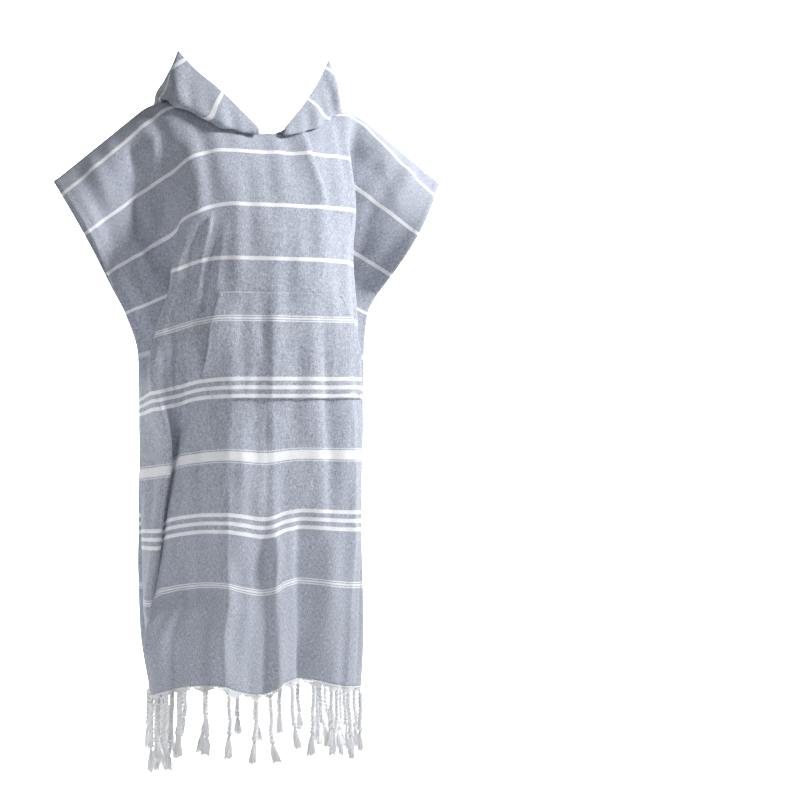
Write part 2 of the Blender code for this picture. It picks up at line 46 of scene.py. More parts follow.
LENGTH = 1.115
ARMHOLE = 0.28
NECK_HALF = 0.15
NECK_FRONT = 0.095
NECK_BACK = 0.098
YOKE = 0.14
NECK_DEPTH = {"front": NECK_FRONT, "back": NECK_BACK}
OTHER_FACE = {"front": "back", "back": "front"}
HAND = {"left": -1.0, "right": 1.0}
DOWN = np.array([0.0, 0.0, -1.0])

# ---- the gap left at a seam between two pieces ----
SEAM = 0.0003

# ---- where the sleeve's tip and the foot of the armhole hang ----
TIPS = {"left": (-0.398, -0.012, -0.156), "right": (0.398, -0.012, -0.128)}
UNDERARMS = {"left": (-0.275, 0.004, -0.350), "right": (0.272, 0.004, -0.342)}
# How far each cuff edge bows away from the straight line between the two.
CUFF_BOWS = {
    ("front", "left"): (-0.016, -0.062, 0.002),
    ("front", "right"): (-0.008, -0.048, 0.000),
    ("back", "left"): (0.026, 0.058, 0.006),
    ("back", "right"): (-0.026, 0.062, 0.006),
}

# ---- the middle line of each panel ----
MIDDLE_COLUMNS = ("t", "y", "z")
MIDDLE = {
    "front": (
        (0.000, 0.000, 0.000),
        (0.030, -0.028, -0.007),
        (0.060, -0.052, -0.027),
        (0.095, -0.071, -0.057),
        (0.135, -0.091, -0.093),
        (0.236, -0.124, -0.192),
        (0.335, -0.138, -0.290),
        (0.600, -0.142, -0.555),
        (0.900, -0.136, -0.855),
        (1.115, -0.130, -1.070),
    ),
    "back": (
        (0.000, 0.000, 0.000),
        (0.030, 0.028, -0.007),
        (0.060, 0.050, -0.028),
        (0.135, 0.091, -0.093),
        (0.236, 0.122, -0.194),
        (0.335, 0.134, -0.292),
        (0.600, 0.134, -0.557),
        (0.900, 0.126, -0.857),
        (1.115, 0.122, -1.072),
    ),
}

# ---- the side seams, below the armholes ----
SEAM_LINE_COLUMNS = ("t", "x", "y", "z")
SEAM_LINE = {
    "left": (
        (0.280, -0.275, 0.004, -0.350),
        (0.335, -0.248, 0.016, -0.388),
        (0.444, -0.218, 0.026, -0.466),
        (0.568, -0.214, 0.030, -0.560),
        (0.694, -0.214, 0.026, -0.682),
        (0.818, -0.214, 0.018, -0.801),
        (0.933, -0.212, 0.015, -0.914),
        (1.000, -0.205, 0.020, -0.980),
        (1.060, -0.195, 0.023, -1.038),
        (1.115, -0.184, 0.024, -1.090),
    ),
    "right": (
        (0.280, 0.272, 0.004, -0.342),
        (0.335, 0.252, 0.008, -0.382),
        (0.444, 0.246, 0.012, -0.466),
        (0.568, 0.245, 0.014, -0.574),
        (0.694, 0.230, 0.014, -0.690),
        (0.818, 0.218, 0.016, -0.812),
        (1.115, 0.208, 0.016, -1.090),
    ),
}

# ---- where a row starts to sink toward its edge, as a share of its half width ----
SINK_COLUMNS = ("t", "left", "right")
SINK = (
    (0.000, 0.36, 0.42),
    (0.135, 0.22, 0.36),
    (0.236, 0.22, 0.40),
    (0.335, 0.26, 0.36),
    (0.568, 0.26, 0.36),
    (1.115, 0.40, 0.50),
)

SINK_SOFT = 0.25

# ---- bends: folds that run down the cloth, one table each ----
# At a bend a row turns toward the other panel by "turn" degrees over twice "spread",
# and sinks by "drop" below the even fall to its edge.
BEND_COLUMNS = ("t", "s", "turn", "spread", "drop")
BENDS = {
    ("front", "right"): {
        "chest": ((0.0, 0.10, 0, 0.10, 0), (0.14, 0.10, 30, 0.10, 0), (0.335, 0.10, 42, 0.10, 0),
                  (0.60, 0.10, 42, 0.10, 0), (0.75, 0.10, 47, 0.10, 0), (0.93, 0.10, 44, 0.10, 0),
                  (1.115, 0.10, 34, 0.10, 0)),
        "edge": ((0.03, 0.195, 0, 0.020, 0), (0.10, 0.196, 50, 0.020, 0),
                 (0.28, 0.202, 125, 0.018, 0), (0.40, 0.214, 122, 0.018, 0),
                 (0.568, 0.204, 120, 0.018, 0), (0.694, 0.193, 116, 0.018, 0),
                 (0.818, 0.190, 106, 0.020, 0), (0.933, 0.203, 96, 0.022, 0),
                 (1.115, 0.225, 80, 0.025, 0)),
        "back_out": ((0.03, 0.225, 0, 0.025, 0), (0.10, 0.235, -75, 0.025, 0),
                     (0.28, 0.290, -165, 0.022, 0), (0.45, 0.300, -140, 0.022, 0),
                     (1.115, 0.300, -60, 0.03, 0)),
    },
    ("front", "left"): {
        "chest": ((0.0, 0.11, 0, 0.11, 0), (0.14, 0.10, 16, 0.10, 0), (1.115, 0.10, 14, 0.10, 0)),
        "ridge_in": ((0.40, 0.190, 0, 0.03, 0), (0.568, 0.200, 35, 0.025, 0),
                     (0.694, 0.262, 50, 0.020, 0), (0.818, 0.288, 50, 0.020, 0),
                     (0.93, 0.310, 50, 0.018, 0), (1.03, 0.325, 0, 0.02, 0)),
        "ridge_out": ((0.40, 0.215, 0, 0.03, 0), (0.568, 0.230, -60, 0.025, 0.004),
                      (0.694, 0.286, -110, 0.020, 0.010), (0.818, 0.310, -110, 0.020, 0.016),
                      (0.93, 0.330, -105, 0.018, 0.020), (1.03, 0.345, 0, 0.02, 0.0)),
        "edge": ((0.03, 0.20, 0, 0.05, 0), (0.14, 0.20, 40, 0.05, 0), (0.25, 0.215, 90, 0.040, 0),
                 (0.335, 0.235, 150, 0.022, 0), (0.444, 0.283, 150, 0.022, 0),
                 (0.50, 0.318, 115, 0.026, 0), (0.568, 0.332, 95, 0.028, 0),
                 (0.694, 0.330, 100, 0.022, 0), (0.818, 0.350, 115, 0.020, 0),
                 (0.93, 0.360, 120, 0.018, 0), (1.03, 0.300, 112, 0.025, 0),
                 (1.115, 0.296, 106, 0.03, 0)),
        "back_out": ((0.03, 0.26, 0, 0.05, 0), (0.14, 0.26, -55, 0.05, 0),
                     (0.25, 0.275, -100, 0.040, 0), (0.335, 0.295, -150, 0.022, 0),
                     (0.444, 0.345, -130, 0.025, 0), (0.50, 0.370, -50, 0.025, 0),
                     (0.568, 0.385, -10, 0.03, 0), (0.694, 0.390, 0, 0.03, 0),
                     (0.93, 0.390, 8, 0.03, 0), (1.03, 0.380, -45, 0.03, 0),
                     (1.115, 0.380, -42, 0.03, 0)),
    },
    ("back", "right"): {
        "blade": ((0.0, 0.11, 0, 0.11, 0), (0.14, 0.11, 24, 0.11, 0), (1.115, 0.11, 30, 0.11, 0)),
        "edge": ((0.03, 0.20, 0, 0.05, 0), (0.14, 0.20, 45, 0.04, 0), (0.28, 0.22, 125, 0.03, 0),
                 (0.60, 0.225, 130, 0.022, 0), (1.115, 0.23, 90, 0.025, 0)),
        "back_out": ((0.03, 0.25, 0, 0.04, 0), (0.14, 0.27, -60, 0.04, 0),
                     (0.28, 0.30, -145, 0.03, 0), (0.45, 0.32, -120, 0.025, 0),
                     (1.115, 0.33, -50, 0.03, 0)),
    },
    ("back", "left"): {
        "blade": ((0.0, 0.10, 0, 0.10, 0), (0.14, 0.10, 30, 0.10, 0), (0.60, 0.10, 42, 0.10, 0),
                  (1.115, 0.10, 50, 0.10, 0)),
        "edge": ((0.03, 0.20, 0, 0.03, 0), (0.14, 0.20, 50, 0.03, 0), (0.28, 0.200, 125, 0.025, 0),
                 (0.60, 0.200, 110, 0.02, 0), (0.95, 0.186, 92, 0.022, 0),
                 (1.115, 0.166, 70, 0.025, 0)),
        "back_out": ((0.03, 0.24, 0, 0.03, 0), (0.14, 0.26, -70, 0.03, 0),
                     (0.28, 0.30, -155, 0.025, 0), (0.45, 0.30, -130, 0.025, 0),
                     (1.115, 0.30, -50, 0.03, 0)),
    },
}

# ---- hood, worn down: its brim, and how far its fold lies beyond the neck seam ----
# "turn" goes round the neck in degrees, from the middle of the front to the middle of the back.
BRIM_COLUMNS = ("turn", "x", "y", "z")
BRIM = {
    "left": {
        "rising": ((8, -0.021, -0.079, -0.049), (35, -0.083, -0.050, 0.019),
                   (60, -0.124, -0.020, 0.062), (78, -0.149, 0.000, 0.0965)),
        "falling": ((78, -0.149, 0.000, 0.0965), (95, -0.152, 0.045, 0.045),
                    (120, -0.132, 0.088, -0.006), (145, -0.085, 0.118, -0.036),
                    (180, 0.000, 0.134, -0.046)),
    },
    "right": {
        "rising": ((8, 0.027, -0.079, -0.0485), (35, 0.086, -0.050, 0.0065),
                   (60, 0.132, -0.020, 0.055), (78, 0.164, 0.000, 0.099)),
        "falling": ((78, 0.164, 0.000, 0.099), (95, 0.161, 0.045, 0.046),
                    (120, 0.142, 0.088, -0.004), (145, 0.098, 0.118, -0.037),
                    (180, 0.000, 0.134, -0.046)),
    },
}
BRIM_TIP = 78
HOOD_FOLD_COLUMNS = ("turn", "reach", "belly")
HOOD_FOLD = {
    "left": (
        (8, 0.004, 0.000), (35, 0.014, 0.004), (60, 0.018, 0.006), (75, 0.026, 0.007),
        (90, 0.025, 0.006), (105, 0.036, 0.008), (120, 0.078, 0.018), (150, 0.138, 0.034),
        (180, 0.160, 0.042),
    ),
    "right": (
        (8, 0.004, 0.000), (35, 0.007, 0.003), (50, 0.009, 0.004), (62, 0.014, 0.005),
        (75, 0.025, 0.006), (90, 0.031, 0.007), (105, 0.046, 0.010), (120, 0.082, 0.018),
        (150, 0.138, 0.034), (180, 0.160, 0.042),
    ),
}
HOOD_START = {"left": 8.4, "right": 10.4}
HOOD_CLEAR = 0.0045
HOOD_ROLL = 0.006
HOOD_RISE = 0.004

# ---- pocket: half its width at each level of the front panel ----
POCKET_COLUMNS = ("t", "half")
POCKET = ((0.396, 0.138), (0.535, 0.190), (0.552, 0.188), (0.566, 0.176), (0.589, 0.176))
# It lies this far off the panel; its openings, from this share of its half width out, puff up.
POCKET_CLEAR = 0.0012
OPENING_FROM, OPENING_PUFF = 0.6, 0.007

# ---- fringe: how far across the hem each strand hangs ----
FRINGE_PLACES = {
    "front": (-0.425, -0.385, -0.345, -0.310, -0.288, -0.263, -0.229, -0.176, -0.125, -0.058,
              -0.025, 0.023, 0.071, 0.109, 0.156, 0.207, 0.252, 0.298, 0.342, 0.385, 0.425),
    "back": (-0.425, -0.390, -0.350, -0.310, -0.262, -0.215, -0.165, -0.112, -0.074, -0.032,
             0.029, 0.075, 0.128, 0.168, 0.209, 0.258, 0.305, 0.345, 0.388, 0.424),
}

# ---- how finely a row is worked out, and how far the shoulder line is shared ----
ROW_STEPS = 176
YOKE_STEPS = 28
SHOULDER_ROUND = 0.02


def column(rows, names, name):
    """One named column of a table as an array."""
    return np.array([row[names.index(name)] for row in rows], dtype=float)


def smooth_through(knots, values, at):
    """A smooth curve through the knots that never swings past them."""
    at = np.clip(np.asarray(at, dtype=float), knots[0], knots[-1])
    spans = np.diff(knots)
    slopes = np.diff(values) / spans
    tangents = np.zeros(len(knots))
    tangents[0] = slopes[0]
    tangents[-1] = slopes[-1]
    for k in range(1, len(knots) - 1):
        if slopes[k - 1] * slopes[k] > 0.0:
            before = 2.0 * spans[k] + spans[k - 1]
            after = spans[k] + 2.0 * spans[k - 1]
            tangents[k] = (before + after) / (before / slopes[k - 1] + after / slopes[k])
    cell = np.clip(np.searchsorted(knots, at, side="right") - 1, 0, len(spans) - 1)
    u = (at - knots[cell]) / spans[cell]
    h = spans[cell]
    return ((1 + 2 * u) * (1 - u) ** 2 * values[cell] + u * (1 - u) ** 2 * h * tangents[cell]
            + u * u * (3 - 2 * u) * values[cell + 1] + u * u * (u - 1) * h * tangents[cell + 1])


def look_up(rows, names, name, at):
    return smooth_through(column(rows, names, names[0]), column(rows, names, name), at)


def ease(x):
    """0 before -1, 1 after +1, and a half wave between."""
    return 0.5 * (1.0 + np.sin(0.5 * math.pi * np.clip(x, -1.0, 1.0)))


def middle_point(face, t):
    rows = MIDDLE[face]
    return np.array([0.0, float(look_up(rows, MIDDLE_COLUMNS, "y", t)),
                     float(look_up(rows, MIDDLE_COLUMNS, "z", t))])


def edge_point(face, side, t):
    """A panel's edge: the cuff above the underarm, the side seam below it."""
    if t >= ARMHOLE:
        rows = SEAM_LINE[side]
        return np.array([float(look_up(rows, SEAM_LINE_COLUMNS, name, t)) for name in "xyz"])
    share = t / ARMHOLE
    bulge = np.array(CUFF_BOWS[(face, side)])
    straight = (1.0 - share) * np.array(TIPS[side]) + share * np.array(UNDERARMS[side])
    return straight + bulge * math.sin(math.pi * share)


def bent_row(face, side, t, across):
    """Points at the distances `across` from the middle, bent as the tables say."""
    s = np.linspace(0.0, HALF_WIDTH, ROW_STEPS + 1)
    start = middle_point(face, t)
    end = edge_point(face, side, t)
    sink_from = float(look_up(SINK, SINK_COLUMNS, side, t))
    ramp = np.clip((s / HALF_WIDTH - sink_from) / (1.0 - sink_from), 0.0, 1.0)
    sink = np.where(ramp < SINK_SOFT, ramp * ramp / (2.0 * SINK_SOFT), ramp - SINK_SOFT / 2.0)
    sink /= 1.0 - SINK_SOFT / 2.0
    heading = np.zeros_like(s)
    drops = np.zeros_like(s)
    for bend in BENDS[(face, side)].values():
        at, turn, spread, drop = (float(look_up(bend, BEND_COLUMNS, name, t))
                                  for name in BEND_COLUMNS[1:])
        heading += math.radians(turn) * ease((s - at) / spread)
        drops += drop * ease((s - at) / (1.5 * spread))
    z = start[2] - drops + (end[2] - start[2] + drops[-1]) * sink
    step = s[1] - s[0]
    level = np.sqrt(np.maximum(step ** 2 - np.diff(z) ** 2, 0.0))
    mid_heading = 0.5 * (heading[1:] + heading[:-1])
    back = 1.0 if face == "front" else -1.0
    x = np.concatenate([[0.0], np.cumsum(level * np.cos(mid_heading))]) * HAND[side]
    y = start[1] + np.concatenate([[0.0], np.cumsum(level * np.sin(mid_heading))]) * back
    weight = (s / HALF_WIDTH) ** 1.5
    x += (end[0] - x[-1]) * weight
    y += (end[1] - y[-1]) * weight
    return np.stack([np.interp(across, s, values) for values in (x, y, z)], axis=-1)


def row_of_cloth(face, side, t, across):
    """One row of a half panel; near the shoulder both panels ease onto one line."""
    row = bent_row(face, side, t, across)
    if t < SHOULDER_ROUND:
        other_row = bent_row(OTHER_FACE[face], side, 0.0, across)
        apart = other_row - bent_row(face, side, 0.0, across)
        row += 0.5 * apart * (1.0 - t / SHOULDER_ROUND) ** 2
    return row


def cloth_point(face, s, t):
    """One point of a panel's middle surface."""
    side = "right" if s >= 0.0 else "left"
    return row_of_cloth(face, side, t, np.array([abs(s)]))[0]


def unit(vectors):
    return vectors / np.maximum(np.linalg.norm(vectors, axis=-1, keepdims=True), 1e-12)


def cloth_normal(face, s, t, reach=0.004):
    """The way out of a panel at one point, away from the wearer."""
    across = cloth_point(face, s + reach, t) - cloth_point(face, s - reach, t)
    up = max(t - reach, 0.0)
    down = cloth_point(face, s, t + reach) - cloth_point(face, s, up)
    normal = unit(np.cross(across, down))
    return -normal if face == "front" else normal


def neck_top(face, s):
    """How far below the shoulder line a panel starts at s."""
    inside = np.clip(1.0 - (np.abs(s) / NECK_HALF) ** 2, 0.0, None)
    return NECK_DEPTH[face] * np.sqrt(inside)


def panel_grid(face, stations, yoke_rows, body_levels):
    """Middle surface of a panel, rows down and columns across, and the level of each point."""
    tops = neck_top(face, stations)
    levels = [tops + (YOKE - tops) * k / yoke_rows for k in range(yoke_rows)]
    levels += [np.full(len(stations), level) for level in body_levels]
    levels = np.array(levels)
    grid = np.zeros(levels.shape + (3,))
    fine = np.linspace(0.0, YOKE, YOKE_STEPS + 1)
    for side, mask in (("left", stations < 0.0), ("right", stations >= 0.0)):
        across = np.abs(stations[mask])
        table = np.array([row_of_cloth(face, side, t, across) for t in fine])
        for n, j in enumerate(np.flatnonzero(mask)):
            for axis in range(3):
                values = np.interp(levels[:yoke_rows, j], fine, table[:, n, axis])
                grid[:yoke_rows, j, axis] = values
        for i, level in enumerate(body_levels):
            grid[yoke_rows + i, mask] = row_of_cloth(face, side, level, across)
    return grid, levels


def outward(grid, face):
    """Unit normals of a panel grid, away from the wearer."""
    normals = unit(np.cross(np.gradient(grid, axis=1), np.gradient(grid, axis=0)))
    return -normals if face == "front" else normals


def round_neck(side, turn, reach):
    """A point beyond the neck seam by `reach`, and the way out of the cloth there."""
    angle = math.radians(turn)
    face = "front" if turn <= 90.0 else "back"
    s = (NECK_HALF + reach) * math.sin(angle) * HAND[side]
    t = (NECK_DEPTH[face] + reach) * abs(math.cos(angle))
    normal = cloth_normal(face, s, t)
    share = 0.5 * (1.0 - min(t / SHOULDER_ROUND, 1.0))
    if share > 0.0:
        normal = unit(normal * (1.0 - share) + cloth_normal(OTHER_FACE[face], s, t) * share)
    return cloth_point(face, s, t), normal


def brim_point(side, turn):
    part = "rising" if turn <= BRIM_TIP else "falling"
    rows = BRIM[side][part]
    return np.array([float(look_up(rows, BRIM_COLUMNS, name, turn)) for name in "xyz"])


def neck_seam(side, turn):
    """A point of the panels' neck edge, the way off the cloth and the way out of it."""
    edge, out = round_neck(side, turn, 0.0)
    inside = round_neck(side, turn, 0.006)[0]
    away = unit(edge - inside)
    away = unit(away - out * (away @ out))
    return edge, away, out


def hood_section(side, turn):
    """Stations of the hood from the neck seam, over its fold, up to its brim."""
    reach, belly = (float(look_up(HOOD_FOLD[side], HOOD_FOLD_COLUMNS, name, turn))
                    for name in HOOD_FOLD_COLUMNS[1:])
    roll = HOOD_ROLL * float(np.clip(reach / 0.02, 0.4, 1.0))
    edge, away, out = neck_seam(side, turn)
    stations = [edge + away * SEAM, edge + away * HOOD_RISE + out * HOOD_CLEAR / 2.0]
    for beyond, lift in ((0.15 * reach, 0.0), (0.4 * reach, 0.0), (0.7 * reach, 0.002),
                         (reach, 0.002), (reach + roll, roll), (reach + roll / 3.0, 2.0 * roll)):
        point, normal = round_neck(side, turn, beyond)
        stations.append(point + normal * (HOOD_CLEAR + lift))
    brim = brim_point(side, turn)
    outside = unit(np.array([brim[0], brim[1], 0.0]))
    stations.append(0.5 * (stations[-1] + brim) + outside * belly)
    stations.append(brim)
    return stations


def curve_through(knots, cells):
    """Points of a smooth curve through the knots, with so many cells in each span."""
    knots = np.array(knots)
    spans = np.sqrt(np.linalg.norm(np.diff(knots, axis=0), axis=1))[:, None]
    slopes = np.diff(knots, axis=0) / spans
    inner = (slopes[:-1] * spans[1:] + slopes[1:] * spans[:-1]) / (spans[:-1] + spans[1:])
    tangents = np.concatenate([slopes[:1], inner, slopes[-1:]])
    points = []
    for k, count in enumerate(cells):
        for u in np.arange(count) / count:
            points.append((1 + 2 * u) * (1 - u) ** 2 * knots[k]
                          + u * (1 - u) ** 2 * spans[k] * tangents[k]
                          + u * u * (3 - 2 * u) * knots[k + 1]
                          + u * u * (u - 1) * spans[k] * tangents[k + 1])
    return np.array(points + [knots[-1]])


def hood_grid(side, turns, cells):
    """Middle surface of one half of the hood: rows out from the seam, columns round the neck."""
    columns = [curve_through(hood_section(side, turn), cells) for turn in turns]
    return np.array(columns).transpose(1, 0, 2)


def run_along(points):
    """The length of a line of points up to each of them."""
    steps = np.linalg.norm(np.diff(points, axis=0), axis=1)
    return np.concatenate([[0.0], np.cumsum(steps)])


# ---- what the cloth does beyond its main folds ----
# Each crease runs from (s, t) to (s, t); "height" is out of the cloth, negative for a trough;
# "left" and "right" are how far it spreads to each side.
CREASE_COLUMNS = ("s_from", "t_from", "s_to", "t_to", "height", "left", "right")
CREASES = {
    "front": (
        # left sleeve and chest
        (-0.278, 0.045, -0.300, 0.130, -0.0070, 0.010, 0.022),
        (-0.300, 0.130, -0.345, 0.215, -0.0040, 0.016, 0.020),
        (-0.192, 0.105, -0.255, 0.175, -0.0060, 0.014, 0.014),
        (-0.255, 0.175, -0.300, 0.235, -0.0050, 0.014, 0.012),
        (-0.225, 0.060, -0.268, 0.120, 0.0030, 0.014, 0.012),
        (-0.330, 0.110, -0.372, 0.200, 0.0030, 0.022, 0.018),
        (-0.184, 0.120, -0.196, 0.250, 0.0030, 0.014, 0.030),
        (-0.198, 0.240, -0.206, 0.302, 0.0030, 0.006, 0.010),
        (-0.206, 0.302, -0.232, 0.362, 0.0036, 0.005, 0.010),
        (-0.150, 0.255, -0.180, 0.395, 0.0042, 0.007, 0.006),
        (-0.136, 0.300, -0.170, 0.430, -0.0045, 0.006, 0.008),
        (-0.172, 0.260, -0.200, 0.380, -0.0034, 0.007, 0.007),
        (-0.118, 0.270, -0.140, 0.380, 0.0022, 0.010, 0.010),
        (-0.215, 0.330, -0.262, 0.450, 0.0030, 0.008, 0.006),
        (-0.232, 0.430, -0.262, 0.560, -0.0034, 0.010, 0.008),
        # left flank
        (-0.262, 0.450, -0.275, 0.600, 0.0030, 0.008, 0.010),
        (-0.322, 0.520, -0.318, 0.720, 0.0036, 0.010, 0.008),
        (-0.330, 0.700, -0.336, 0.960, 0.0032, 0.008, 0.008),
        (-0.298, 0.560, -0.300, 0.700, -0.0030, 0.010, 0.010),
        # middle and right of the front
        (0.077, 0.085, 0.078, 0.145, 0.0062, 0.014, 0.003),
        (0.078, 0.145, 0.094, 0.225, 0.0050, 0.014, 0.003),
        (0.150, 0.070, 0.150, 0.200, 0.0020, 0.012, 0.010),
        (-0.030, 0.440, -0.029, 0.660, 0.0045, 0.008, 0.040),
        (-0.029, 0.620, -0.026, 0.900, 0.0070, 0.008, 0.045),
        (-0.026, 0.840, -0.012, 1.130, 0.0120, 0.009, 0.030),
        (0.084, 0.500, 0.096, 0.840, -0.0080, 0.012, 0.022),
        (0.030, 0.820, 0.040, 1.130, -0.0130, 0.007, 0.040),
        (0.010, 0.600, 0.036, 1.150, -0.0110, 0.070, 0.050),
        (-0.134, 0.640, -0.139, 1.150, 0.0170, 0.062, 0.085),
        (0.060, 0.690, 0.038, 0.790, 0.0022, 0.005, 0.005),
        (0.018, 0.640, 0.010, 0.760, 0.0014, 0.005, 0.006),
        (0.146, 0.560, 0.150, 1.130, 0.0045, 0.012, 0.014),
        (0.176, 0.225, 0.170, 0.262, 0.0030, 0.005, 0.006),
        (0.184, 0.420, 0.182, 1.060, -0.0060, 0.004, 0.012),
        # lower left of the front
        (-0.134, 0.760, -0.136, 0.930, 0.0030, 0.003, 0.022),
        (-0.136, 0.900, -0.139, 1.130, 0.0075, 0.0035, 0.026),
        (-0.160, 0.860, -0.158, 1.130, -0.0030, 0.016, 0.012),
        (-0.070, 0.780, -0.074, 1.130, -0.0040, 0.022, 0.020),
        (-0.215, 0.760, -0.212, 1.000, 0.0026, 0.018, 0.020),
        (-0.235, 0.960, -0.240, 1.130, -0.0035, 0.015, 0.015),
        (-0.105, 0.480, -0.100, 0.720, 0.0022, 0.018, 0.020),
        (-0.065, 0.520, -0.062, 0.740, -0.0024, 0.012, 0.014),
        # right sleeve
        (0.238, 0.080, 0.262, 0.240, -0.0045, 0.012, 0.022),
        (0.330, 0.140, 0.372, 0.235, -0.0026, 0.014, 0.018),
        (0.300, 0.060, 0.385, 0.120, 0.0022, 0.016, 0.020),
    ),
    "back": (
        (0.055, 0.200, 0.050, 0.700, 0.0040, 0.004, 0.020),
        (0.050, 0.640, 0.056, 1.130, 0.0065, 0.004, 0.026),
        (-0.090, 0.420, -0.100, 0.800, -0.0045, 0.018, 0.022),
        (-0.100, 0.760, -0.082, 1.130, -0.0075, 0.018, 0.020),
        (-0.030, 0.560, -0.026, 1.130, 0.0040, 0.014, 0.018),
        (0.130, 0.480, 0.118, 1.130, -0.0060, 0.018, 0.016),
        (-0.160, 0.720, -0.156, 1.130, 0.0050, 0.012, 0.016),
        (0.190, 0.160, 0.130, 0.420, 0.0040, 0.014, 0.016),
        (0.215, 0.200, 0.170, 0.470, -0.0040, 0.014, 0.014),
        (-0.190, 0.150, -0.135, 0.400, 0.0040, 0.014, 0.016),
        (-0.215, 0.210, -0.175, 0.480, -0.0040, 0.013, 0.014),
        (0.270, 0.060, 0.310, 0.200, -0.0045, 0.016, 0.018),
        (-0.268, 0.060, -0.312, 0.205, -0.0045, 0.018, 0.016),
        (0.345, 0.110, 0.385, 0.220, 0.0026, 0.016, 0.018),
        (-0.350, 0.120, -0.388, 0.230, 0.0026, 0.018, 0.016),
    ),
}
# How far the cloth is held above its even fall, low down; negative where it hangs below.
SAG_COLUMNS = ("s", "upper", "lower")
SAG = {
    "front": (
        (-0.420, 0.000, 0.000), (-0.330, 0.000, 0.000), (-0.300, 0.000, 0.004),
        (-0.250, 0.004, 0.010), (-0.185, 0.006, 0.014), (-0.140, 0.006, 0.011),
        (-0.105, 0.003, 0.000), (-0.045, -0.004, -0.009), (-0.012, 0.002, 0.001),
        (0.004, 0.006, 0.010), (0.038, 0.010, 0.014), (0.075, 0.008, 0.010),
        (0.105, 0.006, 0.003), (0.150, 0.004, -0.004), (0.200, 0.003, -0.007),
        (0.250, 0.000, 0.000), (0.420, 0.000, 0.000),
    ),
    "back": (
        (-0.420, 0.000, 0.000), (-0.240, 0.000, 0.000), (-0.160, 0.004, -0.006),
        (-0.100, 0.006, 0.010), (-0.030, -0.003, -0.006), (0.025, 0.003, 0.008),
        (0.055, -0.002, -0.007), (0.120, 0.006, 0.010), (0.180, 0.002, -0.004),
        (0.240, 0.000, 0.000), (0.420, 0.000, 0.000),
    ),
}
# The levels where the sag starts, and where "upper" and "lower" are reached.
SAG_FROM, SAG_UPPER, SAG_LOWER = 0.62, 0.80, 1.10
# Slow unevenness all over: waves across and down the cloth, in metres and radians.
RIPPLE_COLUMNS = ("height", "wave_s", "wave_t", "phase")
RIPPLES = (
    (0.0011, 0.090, 0.90, 0.4), (0.0009, 0.061, -0.55, 2.1), (0.0006, 0.043, 0.38, 4.0),
    (0.0005, 0.160, 0.21, 1.3), (0.0004, -0.120, 0.13, 5.2),
)

# ---- stripes: level down the cloth, half width, and strength of the white ----
TRIPLE_PITCH, TRIPLE_HALF = 0.0155, 0.0036
FINE_STRIPES = ((-0.0045, 0.0010), (0.0, 0.0017), (0.0045, 0.0010))


def triple_stripe(t):
    return [(t + k * TRIPLE_PITCH, TRIPLE_HALF, 1.0) for k in (-1, 0, 1)]


def fine_stripe(t):
    return [(t + dt, half, 0.9) for dt, half in FINE_STRIPES]


PANEL_STRIPES = (
    [(t, 0.0036, 1.0) for t in (0.035, 0.135, 0.236, 0.335)]
    + fine_stripe(0.444) + triple_stripe(0.568)
    + [(0.694, 0.0088, 1.0), (0.6822, 0.0009, 0.75), (0.7058, 0.0009, 0.75)]
    + triple_stripe(0.818) + fine_stripe(0.933)
)
HOOD_STRIPES = [(q, 0.0036, 1.0) for q in (0.0965, 0.190, 0.290, 0.390)]

# ---- finer make ----
CLOTH = 0.0011
PANEL_NECK_CELLS, PANEL_SIDE_CELLS = 30, 70
YOKE_FINE_ROWS, BODY_FINE_ROWS = 28, 194
HOOD_FINE_CELLS = (3, 4, 6, 10, 10, 5, 5, 20, 22)
HOOD_FINE_TURNS = (44, 52)
CUFF_HEM = 0.012
CUFF_RISE, CUFF_STEP, CUFF_FADE = 0.0009, 0.0015, 0.01


def across_fine():
    neck = NECK_HALF * np.sin(np.linspace(0.0, math.pi / 2.0, PANEL_NECK_CELLS + 1))
    side = np.linspace(NECK_HALF, HALF_WIDTH, PANEL_SIDE_CELLS + 1)[1:]
    half = np.concatenate([neck, side])
    return np.concatenate([-half[:0:-1], half])


def crease_field(rows, names, s, t):
    """Height out of the cloth at each (s, t), from a table of creases."""
    height = np.zeros_like(s)
    for row in rows:
        crease = dict(zip(names, row))
        along = np.array([crease["s_to"] - crease["s_from"], crease["t_to"] - crease["t_from"]])
        length = float(np.hypot(*along))
        along = along / length
        ds, dt = s - crease["s_from"], t - crease["t_from"]
        run = (ds * along[0] + dt * along[1]) / length
        off = ds * along[1] - dt * along[0]
        spread = np.where(off > 0.0, crease["right"], crease["left"])
        ends = ease(np.clip((run + 0.12) / 0.24, 0, 1) * 2 - 1) * ease(
            np.clip((1.12 - run) / 0.24, 0, 1) * 2 - 1)
        height += crease["height"] * ends * np.exp(-np.abs(off / spread) ** 1.6)
    return height


def ripple_field(s, t):
    height = np.zeros_like(s)
    for row in RIPPLES:
        wave = dict(zip(RIPPLE_COLUMNS, row))
        height += wave["height"] * np.sin(2 * math.pi * (s / wave["wave_s"] + t / wave["wave_t"])
                                          + wave["phase"])
    return height


def sag_field(face, s, t):
    rows = SAG[face]
    upper = look_up(rows, SAG_COLUMNS, "upper", s)
    lower = look_up(rows, SAG_COLUMNS, "lower", s)
    first = np.clip((t - SAG_FROM) / (SAG_UPPER - SAG_FROM), 0, 1)
    second = np.clip((t - SAG_UPPER) / (SAG_LOWER - SAG_UPPER), 0, 1)
    return upper * first * (1 - second) + lower * second


def gathers(s, t):
    """Small pleats under the front neckline, right of its middle."""
    depth = t - neck_top("front", s)
    across = np.exp(-((s - 0.045) / 0.03) ** 2)
    return 0.0014 * across * np.exp(-(depth / 0.020) ** 2) * np.sin(2 * math.pi * s / 0.0085)


